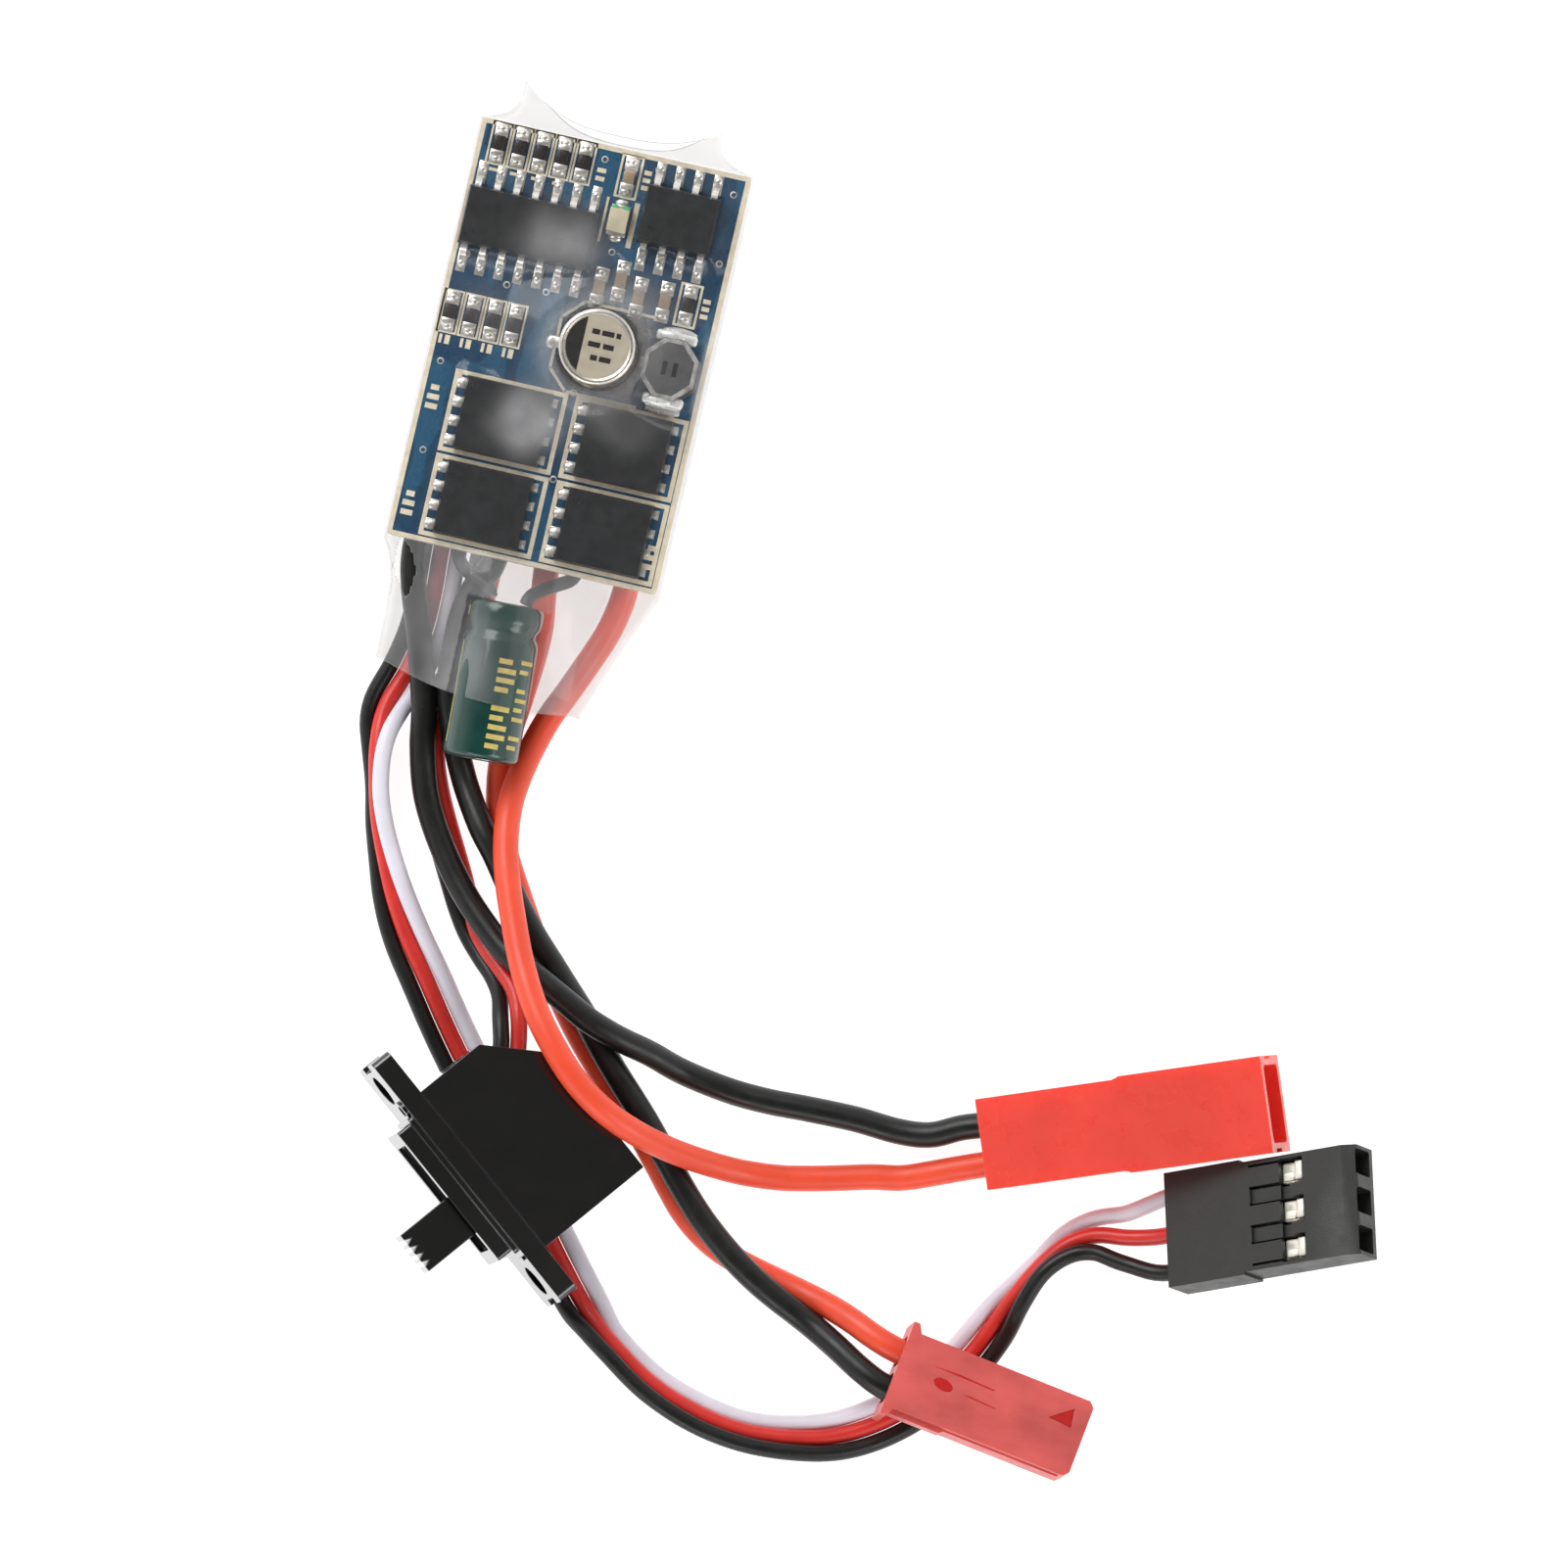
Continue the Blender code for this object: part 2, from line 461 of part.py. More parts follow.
def sleeve_end_offset(x, y, at_mouth):
    """How far the cut edge of an open end bows along Y at x."""
    if at_mouth:
        return 0.9 * MM - 0.9 * MM * math.cos((x / MM - 1.5) / 9.5 * math.pi / 2) * 2
    horn = math.exp(-((abs(x) - 6.7 * MM) / (1.5 * MM)) ** 2)
    return 1.6 * MM * horn + 0.2 * MM


def build_sleeve():
    rows = [-22.6, -20.6, -18.8, -17.2, -15.6, -14.4, -13.2, -11.0, -8.2, -6.0, -3.6, -2.2, -0.6,
            0.9, 2.4, 3.8, 5.4, 7.4, 9.4, 11.6, 13.4, 14.5]
    mesh_edit = bmesh.new()
    rings = []
    for number, row in enumerate(rows):
        y = row * MM
        left, right = sleeve_sides(y)
        outline = []
        for index in range(SLEEVE_FLOOR_POINTS):
            share = index / (SLEEVE_FLOOR_POINTS - 1)
            start = left + SLEEVE_SHOULDER
            outline.append((start + (right - SLEEVE_SHOULDER - start) * share, SLEEVE_WALL))
        outline.append((right - 0.14 * MM, 0.42 * MM))
        outline.append((right, 1.0 * MM))
        outline.append((right, film_height(right, y, left, right)))
        first = right - SLEEVE_EDGE_STEP
        last = left + SLEEVE_EDGE_STEP
        for index in range(SLEEVE_TOP_POINTS):
            share = index / (SLEEVE_TOP_POINTS - 1)
            x = first + (last - first) * share
            outline.append((x, film_height(x, y, left, right)))
        outline.append((left, film_height(left, y, left, right)))
        outline.append((left, 1.0 * MM))
        outline.append((left + 0.14 * MM, 0.42 * MM))
        ring = []
        for x, z in outline:
            shift = 0.0
            if number == 0:
                shift = sleeve_end_offset(x, y, True)
            if number == len(rows) - 1:
                shift = sleeve_end_offset(x, y, False)
            ring.append(mesh_edit.verts.new((x, y + shift, z)))
        rings.append(ring)
    for lower, upper in zip(rings, rings[1:]):
        size = len(lower)
        for index in range(size):
            after = (index + 1) % size
            mesh_edit.faces.new((lower[index], lower[after], upper[after], upper[index]))
    bmesh.ops.recalc_face_normals(mesh_edit, faces=mesh_edit.faces)
    mesh = bpy.data.meshes.new("sleeve")
    mesh_edit.to_mesh(mesh)
    mesh_edit.free()
    sleeve = place(bpy.data.objects.new("sleeve", mesh), "clear_film")
    shell = sleeve.modifiers.new("film", "SOLIDIFY")
    shell.thickness = SLEEVE_WALL
    shell.offset = 1.0
    return sleeve


# ---------------------------------------------------------------- board and its parts
def small_outline_chip(name, centre, length, pins_per_side):
    """A chip body with a row of leads along each long side."""
    bottom = BOARD_TOP + SOLDER_GAP + SOIC_STANDOFF
    height = SOIC_TOP - bottom
    body = box(name, (*centre, bottom + height / 2), (length, SOIC_BODY_DEPTH, height), "chip_plastic")
    reach = (SOIC_LEAD_SPAN - SOIC_BODY_DEPTH) / 2 + 0.1 * MM
    leads = []
    for side in (-1, 1):
        for index in range(pins_per_side):
            x = centre[0] + (index - (pins_per_side - 1) / 2) * SOIC_LEAD_PITCH
            y = centre[1] + side * (SOIC_LEAD_SPAN / 2 - reach / 2)
            z = BOARD_TOP + SOLDER_GAP + SOIC_LEAD_HEIGHT / 2
            leads.append(((x, y, z), (SOIC_LEAD_WIDTH, reach, SOIC_LEAD_HEIGHT)))
    combine(body, name + "_leads", box_mesh(name + "_leads", leads), "UNION")
    return body


def power_transistor(name, x, y):
    """A flat power transistor with four lead ends on each side."""
    bottom = BOARD_TOP + SOLDER_GAP
    height = TRANSISTOR_BODY[2] - SOLDER_GAP
    size = (TRANSISTOR_BODY[0], TRANSISTOR_BODY[1], height)
    body = box(name, (x, y, bottom + height / 2), size, "chip_plastic")
    tabs = []
    for side in (-1, 1):
        for index in range(4):
            along = y + (index - 1.5) * SOIC_LEAD_PITCH
            across = x + side * TRANSISTOR_BODY[0] / 2
            tabs.append(((across, along, bottom + 0.05 * MM + TRANSISTOR_LEAD[2] / 2), TRANSISTOR_LEAD))
    combine(body, name + "_tabs", box_mesh(name + "_tabs", tabs), "UNION")
    return body


def chip(name, x, y):
    z = BOARD_TOP + SOLDER_GAP + CHIP_SIZE[2] / 2
    return box(name, (x, y, z), CHIP_SIZE, "chip_ceramic")


def cut_corners(name, centre, size, chamfer, corners, material):
    """A block whose named upright corners are cut off."""
    obj = box(name, centre, size, material)
    mesh_edit = bmesh.new()
    mesh_edit.from_mesh(obj.data)
    chosen = []
    for edge in mesh_edit.edges:
        first, second = edge.verts
        upright = abs(first.co.z - second.co.z) > size[2] / 2
        place_x = 1 if first.co.x > centre[0] else -1
        place_y = 1 if first.co.y > centre[1] else -1
        if upright and (place_x, place_y) in corners:
            chosen.append(edge)
    bmesh.ops.bevel(mesh_edit, geom=chosen, offset=chamfer, offset_type="OFFSET", segments=1,
                    affect="EDGES", profile=0.5)
    mesh_edit.to_mesh(obj.data)
    mesh_edit.free()
    return obj


def build_board():
    board_centre = (0.0, 0.0, BOARD_UNDERSIDE + BOARD_THICK / 2)
    box("circuit_board", board_centre, (BOARD_WIDTH, BOARD_LENGTH, BOARD_THICK), "solder_mask")
    small_outline_chip("controller_chip", CONTROLLER_CENTRE, CONTROLLER_LENGTH, 7)
    small_outline_chip("driver_chip", DRIVER_CENTRE, DRIVER_LENGTH, 4)
    number = 1
    for column in TRANSISTOR_COLUMNS:
        for row in TRANSISTOR_ROWS:
            power_transistor("power_transistor_%d" % number, column, row)
            number += 1
    for index in range(5):
        x = TOP_ROW_START[0] + index * CHIP_ROW_PITCH
        chip("chip_resistor_%d" % (index + 1), x, TOP_ROW_START[1])
    for index in range(4):
        x = SIDE_ROW_START[0] + index * CHIP_ROW_PITCH
        chip("chip_resistor_%d" % (index + 6), x, SIDE_ROW_START[1])
    for name, x, y in SINGLE_CHIPS:
        chip(name, x, y)
    led_z = BOARD_TOP + SOLDER_GAP + LED_SIZE[2] / 2
    box("status_led", (*LED_CENTRE, led_z), LED_SIZE, "led_lens")
    inductor_z = BOARD_TOP + SOLDER_GAP + INDUCTOR_SIZE[2] / 2
    every_corner = ((-1, -1), (-1, 1), (1, -1), (1, 1))
    cut_corners("inductor", (*INDUCTOR_CENTRE, inductor_z), INDUCTOR_SIZE, INDUCTOR_CHAMFER,
                every_corner, "ferrite")
    base_bottom = BOARD_TOP + SOLDER_GAP
    base_size = (CAN_BASE_WIDTH, CAN_BASE_WIDTH, CAN_BASE_HEIGHT)
    cut_corners("board_capacitor_base", (*CAN_CENTRE, base_bottom + CAN_BASE_HEIGHT / 2), base_size,
                CAN_BASE_CHAMFER, ((-1, -1), (-1, 1)), "black_plastic")
    can_bottom = base_bottom + CAN_BASE_HEIGHT + SOLDER_GAP
    round_edge = 0.35 * MM
    profile = [(0.0, CAN_TOP), (CAN_RADIUS - round_edge, CAN_TOP),
               (CAN_RADIUS - 0.1 * MM, CAN_TOP - 0.1 * MM), (CAN_RADIUS, CAN_TOP - round_edge),
               (CAN_RADIUS, can_bottom), (0.0, can_bottom)]
    turned("board_capacitor_can", profile, "bare_aluminium", steps=28,
           location=(*CAN_CENTRE, 0.0))


# ---------------------------------------------------------------- bulk capacitor
def build_bulk_capacitor():
    axis = BULK_START - BULK_END
    length = axis.length
    rotation = axis.to_track_quat("Z", "Y")
    inner = BULK_RADIUS - BULK_WRAP_THICK - SOLDER_GAP
    groove = 0.3 * MM
    recess = length - BULK_SEAL_DEPTH
    can = [(BULK_SEAL_RADIUS + 0.05 * MM, recess), (BULK_SEAL_RADIUS + 0.05 * MM, length - 0.1 * MM),
           (inner - 0.1 * MM, length - 0.1 * MM), (inner, length - 0.25 * MM),
           (inner, length - 1.6 * MM), (inner - groove, length - 1.9 * MM), (inner, length - 2.2 * MM),
           (inner, 0.35 * MM), (inner - 0.3 * MM, 0.05 * MM), (0.0, 0.05 * MM)]
    turned("bulk_capacitor_can", [(0.0, recess)] + can, "bare_aluminium", steps=24,
           location=BULK_END, rotation=rotation)
    lip = BULK_RADIUS - BULK_WRAP_THICK
    wrap = [(lip, 0.02 * MM), (lip, length - 0.2 * MM), (BULK_RADIUS, length - 0.2 * MM),
            (BULK_RADIUS, 0.02 * MM), (lip, 0.02 * MM)]
    turned("bulk_capacitor_wrap", wrap, "green_wrap", steps=24, location=BULK_END, rotation=rotation)
    seal_bottom = recess + SOLDER_GAP
    seal = [(0.0, length - 0.15 * MM), (BULK_SEAL_RADIUS, length - 0.15 * MM),
            (BULK_SEAL_RADIUS, seal_bottom), (0.0, seal_bottom)]
    turned("bulk_capacitor_seal", seal, "black_silicone", steps=24, location=BULK_END, rotation=rotation)
    lead_step = 0.9
    wire("bulk_capacitor_lead_1", smooth_route(BULK_LEAD_1, lead_step), BULK_LEAD_DIAMETER, "black_silicone")
    wire("bulk_capacitor_lead_2", smooth_route(BULK_LEAD_2, lead_step), BULK_LEAD_DIAMETER, "black_silicone")


# ---------------------------------------------------------------- leads
def build_wires():
    power = (
        ("battery_wire_black", BATTERY_BLACK_ROUTE, "black_silicone"),
        ("battery_wire_red", BATTERY_RED_ROUTE, "red_silicone"),
        ("motor_wire_black", MOTOR_BLACK_ROUTE, "black_silicone"),
        ("motor_wire_red", MOTOR_RED_ROUTE, "red_silicone"),
    )
    for name, route, material in power:
        wire(name, smooth_route(route, POWER_WIRE_STEP / MM), POWER_WIRE_DIAMETER, material)
    step = SIGNAL_WIRE_STEP / MM
    signal = (
        ("receiver_wire_black", RECEIVER_CABLE_ROUTE, 1.0, "black_silicone"),
        ("receiver_wire_red", RECEIVER_CABLE_ROUTE, 0.0, "red_silicone"),
        ("receiver_wire_white", RECEIVER_CABLE_ROUTE, -1.0, "white_silicone"),
        ("switch_wire_black", SWITCH_CABLE_ROUTE, 0.5, "black_silicone"),
        ("switch_wire_red", SWITCH_CABLE_ROUTE, -0.5, "red_silicone"),
    )
    for name, route, across, material in signal:
        wire(name, cable_sides(route, step, across), SIGNAL_WIRE_DIAMETER, material)


# ---------------------------------------------------------------- connectors
def turned_along_x(name, profile, material, parent, across):
    """A turned contact whose axis is the frame's X axis, off to the side by across."""
    rotation = Vector((1.0, 0.0, 0.0)).to_track_quat("Z", "Y")
    return turned(name, profile, material, parent, steps=10, location=(0.0, across, 0.0),
                  rotation=rotation)


def build_battery_connector():
    frame = make_frame("battery_connector_frame", BATTERY_REAR, BATTERY_TURN)
    block_length = BATTERY_BLOCK[0]
    shroud_length = BATTERY_SHROUD[0]
    housing = box("battery_connector_housing", (block_length / 2, 0.0, 0.0), BATTERY_BLOCK,
                  "red_plastic", frame)
    overlap = 0.2 * MM
    shroud_size = (shroud_length + overlap, BATTERY_SHROUD[1], BATTERY_SHROUD[2])
    shroud_centre = (block_length + (shroud_length - overlap) / 2, 0.0, 0.0)
    combine(housing, "shroud_shape", box_mesh("shroud_shape", [(shroud_centre, shroud_size)]),
            "UNION", frame)
    cavity_length = shroud_length - 1.0 * MM
    cavity_size = (cavity_length + 1.0 * MM, BATTERY_SHROUD[1] - 2 * BATTERY_WALL,
                   BATTERY_SHROUD[2] - 2 * BATTERY_WALL)
    cavity_start = block_length + 1.0 * MM
    cavity = ((cavity_start + cavity_size[0] / 2, 0.0, 0.0), cavity_size)
    combine(housing, "shroud_cavity", box_mesh("shroud_cavity", [cavity]), "DIFFERENCE", frame)
    bore_length = cavity_start + 1.0 * MM
    bores = []
    for side in (-1, 1):
        bores.append(((bore_length / 2 - 0.5 * MM, side * POWER_PIN_OFFSET, 0.0),
                      (bore_length, POWER_BORE, POWER_BORE)))
    combine(housing, "pin_bores", box_mesh("pin_bores", bores), "DIFFERENCE", frame)
    tip = block_length + shroud_length - 2.0 * MM
    for number, side in ((1, 1), (2, -1)):
        profile = [(0.0, tip), (0.25 * MM, tip), (0.5 * MM, tip - 0.5 * MM), (0.5 * MM, 6.2 * MM),
                   (0.85 * MM, 6.2 * MM), (0.85 * MM, 3.2 * MM), (0.0, 3.2 * MM)]
        turned_along_x("battery_pin_%d" % number, profile, "tinned_metal", frame,
                       side * POWER_PIN_OFFSET)


def build_motor_connector():
    frame = make_frame("motor_connector_frame", MOTOR_REAR, MOTOR_TURN)
    length = MOTOR_BLOCK[0]
    housing = box("motor_connector_housing", (length / 2, 0.0, 0.0), MOTOR_BLOCK,
                  "pink_red_plastic", frame)
    rib_size = (3.6 * MM, 0.5 * MM, 1.3 * MM)
    extras = [((MOTOR_FLANGE[0] / 2, 0.0, 0.0), MOTOR_FLANGE),
              ((MOTOR_FLANGE[0] + rib_size[0] / 2 - 0.1 * MM, -MOTOR_BLOCK[1] / 2 - 0.1 * MM, 0.6 * MM),
               rib_size)]
    for number, shape in enumerate(extras):
        name = "motor_housing_extra_%d" % number
        combine(housing, name, box_mesh(name, [shape]), "UNION", frame)
    bores = []
    for side in (-1, 1):
        bores.append(((length / 2, side * POWER_PIN_OFFSET, 0.0),
                      (length + 1.0 * MM, MOTOR_BORE, MOTOR_BORE)))
    combine(housing, "contact_bores", box_mesh("contact_bores", bores), "DIFFERENCE", frame)
    mouth = length - 1.0 * MM
    for number, side in ((1, 1), (2, -1)):
        profile = [(0.0, 8.0 * MM), (0.45 * MM, 8.0 * MM), (0.45 * MM, mouth), (0.8 * MM, mouth),
                   (0.8 * MM, 3.2 * MM), (0.0, 3.2 * MM)]
        turned_along_x("motor_contact_%d" % number, profile, "tinned_metal", frame,
                       side * POWER_PIN_OFFSET)


def build_receiver_connector():
    frame = make_frame("receiver_connector_frame", RECEIVER_REAR, RECEIVER_TURN)
    length, width, height = RECEIVER_BLOCK
    housing = box("receiver_connector_housing", (length / 2, 0.0, 0.0), RECEIVER_BLOCK,
                  "black_plastic", frame)
    bores = []
    windows = []
    for number in (-1, 0, 1):
        across = number * RECEIVER_PIN_PITCH
        bores.append(((length / 2, across, 0.0), (length + 1.0 * MM, RECEIVER_BORE, RECEIVER_BORE)))
        windows.append(((RECEIVER_WINDOW_CENTRE, across, height / 2),
                        (RECEIVER_WINDOW[0], RECEIVER_WINDOW[1], height)))
    combine(housing, "receiver_bores", box_mesh("receiver_bores", bores), "DIFFERENCE", frame)
    combine(housing, "receiver_windows", box_mesh("receiver_windows", windows), "DIFFERENCE", frame)
    contact_length = 9.6 * MM
    for number in (-1, 0, 1):
        across = number * RECEIVER_PIN_PITCH
        centre = (2.4 * MM + contact_length / 2, across, -0.05 * MM)
        box("receiver_contact_%d" % (number + 2), centre, (contact_length, 1.4 * MM, 1.4 * MM),
            "tinned_metal", frame)


# ---------------------------------------------------------------- switch
def build_switch():
    """X runs along the plate, Y from the plate into the body."""
    frame = make_frame("switch_frame", SWITCH_CENTRE, SWITCH_TURN)
    body_length, body_depth, body_height = SWITCH_BODY
    gap = 0.03 * MM
    housing = box("switch_housing", (0.0, body_depth / 2 + gap, 0.0), SWITCH_BODY, "black_plastic", frame)
    cavity = ((0.0, SWITCH_CAVITY[1] / 2 - 0.5 * MM, 0.0), SWITCH_CAVITY)
    combine(housing, "switch_cavity", box_mesh("switch_cavity", [cavity]), "DIFFERENCE", frame)
    corner = bpy.data.objects.new("corner_place", None)
    corner.parent = frame
    corner.location = (-body_length / 2, body_depth + gap, 0.0)
    corner.rotation_euler = (0.0, 0.0, math.radians(45.0))
    CUTTERS.objects.link(corner)
    corner_side = SWITCH_CORNER * math.sqrt(2.0)
    corner_size = (corner_side * 3, corner_side, body_height * 2)
    combine(housing, "switch_corner", box_mesh("switch_corner", [((0.0, 0.0, 0.0), corner_size)]),
            "DIFFERENCE", corner)
    slot_size = (SWITCH_LEAD_SLOT[0], 8.0 * MM, SWITCH_LEAD_SLOT[1])
    combine(housing, "lead_slot", box_mesh("lead_slot", [((0.0, 0.0, 0.0), slot_size)]),
            "DIFFERENCE", corner)

    plate_centre = (0.0, -PLATE_SIZE[1] / 2, 0.0)
    plate = box("switch_faceplate", plate_centre, PLATE_SIZE, "black_plastic", frame)
    collar_centre = (0.0, -PLATE_SIZE[1] - COLLAR_SIZE[1] / 2 + 0.05 * MM, 0.0)
    collar_size = (COLLAR_SIZE[0], COLLAR_SIZE[1] + 0.1 * MM, COLLAR_SIZE[2])
    combine(plate, "plate_collar", box_mesh("plate_collar", [(collar_centre, collar_size)]), "UNION", frame)
    slot_length = LEVER_STEM[0] + LEVER_TRAVEL + 2 * LEVER_PLAY
    slot = ((0.0, -1.4 * MM, 0.0), (slot_length, 6.0 * MM, LEVER_STEM[1] + 2 * LEVER_PLAY))
    combine(plate, "plate_slot", box_mesh("plate_slot", [slot]), "DIFFERENCE", frame)
    for number, side in ((1, -1), (2, 1)):
        name = "plate_hole_%d" % number
        hole = cylinder_mesh(name, (side * PLATE_HOLE_OFFSET, -3.0 * MM, 0.0),
                             (side * PLATE_HOLE_OFFSET, 1.0 * MM, 0.0), PLATE_HOLE_RADIUS, 16)
        combine(plate, name, hole, "DIFFERENCE", frame)

    slide = make_frame("switch_slide", (LEVER_REST, 0.0, 0.0), parent=frame)
    collar_front = -PLATE_SIZE[1] - COLLAR_SIZE[1]
    stem_start = collar_front - LEVER_REACH
    stem_end = 0.4 * MM
    stem_size = (LEVER_STEM[0], stem_end - stem_start, LEVER_STEM[1])
    lever = box("switch_lever", (0.0, (stem_start + stem_end) / 2, 0.0), stem_size,
                "black_plastic", slide)
    carrier = ((0.0, 0.2 * MM + LEVER_CARRIER[1] / 2, 0.0), LEVER_CARRIER)
    combine(lever, "lever_carrier", box_mesh("lever_carrier", [carrier]), "UNION", slide)
    teeth = []
    for index in range(4):
        across = (index - 1.5) * 0.6 * MM
        teeth.append(((across, stem_start, 0.0), (0.28 * MM, 0.8 * MM, LEVER_STEM[1] * 1.5)))
    combine(lever, "lever_grooves", box_mesh("lever_grooves", teeth), "DIFFERENCE", slide)
    bridge_y = 0.2 * MM + LEVER_CARRIER[1] + gap + BRIDGE_SIZE[1] / 2
    box("switch_contact_bridge", (0.0, bridge_y, 0.0), BRIDGE_SIZE, "tinned_metal", slide)

    base = box("switch_base", (0.0, BASE_DEPTH, 0.0), BASE_SIZE, "chip_plastic", frame)
    slots = []
    for number in (-1, 0, 1):
        across = number * TERMINAL_SPACING
        slots.append(((across, BASE_DEPTH, 0.0),
                      (TERMINAL_SIZE[0] + 0.1 * MM, 3.0 * MM, TERMINAL_SIZE[2] + 0.1 * MM)))
    combine(base, "terminal_slots", box_mesh("terminal_slots", slots), "DIFFERENCE", frame)
    for number in (-1, 0, 1):
        centre = (number * TERMINAL_SPACING, TERMINAL_DEPTH + TERMINAL_SIZE[1] / 2, 0.0)
        box("switch_terminal_%d" % (number + 2), centre, TERMINAL_SIZE, "tinned_metal", frame)


build_sleeve()
build_board()
build_bulk_capacitor()
build_wires()
build_battery_connector()
build_motor_connector()
build_receiver_connector()
build_switch()
bpy.context.view_layer.update()
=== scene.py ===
"""The looks of the speed controller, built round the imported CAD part.

Shapes are worked out in millimetres, most of them in the frame of the CAD piece they stand for,
and become metres in the shared frame when a piece is made.
"""
import math

import bmesh
import bpy
from mathutils import Matrix, Vector, noise


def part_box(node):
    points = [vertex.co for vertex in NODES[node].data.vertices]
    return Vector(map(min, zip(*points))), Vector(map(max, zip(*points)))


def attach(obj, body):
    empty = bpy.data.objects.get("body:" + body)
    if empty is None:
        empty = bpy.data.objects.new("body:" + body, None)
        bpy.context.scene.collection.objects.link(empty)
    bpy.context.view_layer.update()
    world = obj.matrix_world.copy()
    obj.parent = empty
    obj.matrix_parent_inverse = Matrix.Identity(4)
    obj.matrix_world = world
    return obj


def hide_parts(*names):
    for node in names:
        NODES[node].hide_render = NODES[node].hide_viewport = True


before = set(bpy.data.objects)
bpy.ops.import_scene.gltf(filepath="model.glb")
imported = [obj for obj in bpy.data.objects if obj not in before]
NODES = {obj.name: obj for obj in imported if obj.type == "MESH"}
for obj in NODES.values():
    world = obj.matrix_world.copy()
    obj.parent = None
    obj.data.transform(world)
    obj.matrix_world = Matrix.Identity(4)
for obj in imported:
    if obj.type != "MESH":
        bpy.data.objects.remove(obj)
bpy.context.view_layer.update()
MM = 0.001
HERE = Matrix.Identity(4)
UPRIGHT = Matrix.Rotation(math.radians(90.0), 4, "X")
LIE_ALONG_X = Matrix.Rotation(math.radians(90.0), 4, "Y")
HALF_ROOT = 0.7071  # half the square root of 2

# Standard pitches, and the chips' depth without their leads, in millimetres.
PITCH = 2.54
CHIP_PITCH = 1.27
CHIP_DEPTH = 3.9

TRANSISTORS = ["power_transistor_%d" % number for number in range(1, 5)]
RESISTORS = ["chip_resistor_%d" % number for number in range(1, 11)]
CAPACITORS = ["chip_capacitor_%d" % number for number in range(1, 6)]
TOP_ROW = 5  # how many of the resistors stand in the board's top row

# ---------------------------------------------------------------- leads, millimetres
POWER_WIRE_DIAMETER = 1.7
SIGNAL_WIRE_DIAMETER = 1.1
ROUTE_STEP = 0.45
FLAT_PITCH = 1.14

BATTERY_BLACK_ROUTE = (
    (-7.0, -10.5, 2.35), (-7.1, -14.4, 2.38), (-6.6, -16.9, 2.4), (-5.5, -20.0, 2.4), (-4.2, -24.3, 2.4),
    (-3.7, -27.0, 2.15), (-2.7, -30.1, 2.15), (-0.9, -33.1, 2.3), (1.4, -35.9, 2.8), (4.2, -38.4, 3.6),
    (5.8, -39.3, 4.1), (7.4, -40.1, 4.45), (9.2, -41.0, 4.6), (11.0, -41.9, 4.65), (13.1, -42.6, 4.0),
    (15.3, -43.1, 2.8), (17.7, -43.8, 1.5), (20.9, -44.3, 0.92), (23.6, -44.4, 0.88), (26.1, -44.3, 0.88),
    (29.3, -44.25, 0.88), (32.2, -44.4, 0.95), (34.3, -44.15, 1.25), (36.15, -43.25, 1.7),
    (37.8, -42.66, 2.1), (40.25, -41.72, 2.73),
)
BATTERY_RED_ROUTE = (
    (6.9, -10.5, 2.3), (6.9, -13.9, 1.9), (6.7, -15.6, 1.4), (6.2, -17.5, 1.12), (4.9, -20.8, 1.1),
    (3.9, -23.2, 1.25), (3.3, -25.3, 1.6), (2.9, -27.5, 2.3), (2.8, -29.5, 3.1), (3.1, -31.7, 4.0),
    (3.7, -33.8, 4.8), (4.6, -36.1, 5.5), (6.0, -39.2, 6.5), (7.6, -41.9, 7.6), (9.2, -43.9, 8.2),
    (11.15, -45.85, 8.2), (13.35, -47.35, 7.85), (15.6, -48.3, 6.7), (18.0, -48.9, 4.8),
    (20.3, -49.2, 3.1), (22.8, -49.3, 1.7), (25.2, -49.1, 1.05), (27.2, -48.7, 0.9), (29.2, -48.2, 0.88),
    (31.1, -47.7, 0.92), (33.1, -47.3, 1.0), (34.9, -46.6, 1.25), (36.55, -45.9, 1.6),
    (38.7, -45.04, 2.1), (41.15, -44.1, 2.73),
)
MOTOR_BLACK_ROUTE = (
    (-1.7, -10.5, 2.35), (-1.9, -14.2, 2.35), (-2.65, -15.9, 2.32), (-3.1, -17.8, 2.3),
    (-3.1, -20.3, 2.28), (-2.9, -22.8, 2.25), (-2.3, -24.6, 2.12), (-1.6, -26.4, 1.5), (-0.6, -28.4, 1.5),
    (0.4, -30.0, 2.0), (1.4, -31.4, 2.5), (2.6, -32.8, 2.7), (4.4, -35.2, 2.7), (6.1, -37.2, 2.7),
    (7.6, -38.7, 2.7), (9.1, -40.2, 2.7), (10.6, -41.7, 2.7), (11.9, -43.2, 2.7), (13.4, -44.8, 2.7),
    (15.9, -47.3, 2.65), (17.7, -49.3, 2.6), (19.2, -51.0, 2.6), (21.0, -52.8, 2.7), (23.1, -54.5, 2.75),
    (25.1, -55.8, 2.7), (26.8, -56.7, 2.4), (28.45, -57.45, 2.3), (30.1, -58.25, 2.6), (31.7, -59.1, 3.4),
    (33.5, -60.1, 4.22), (35.28, -60.81, 4.49), (37.93, -61.23, 4.16),
)
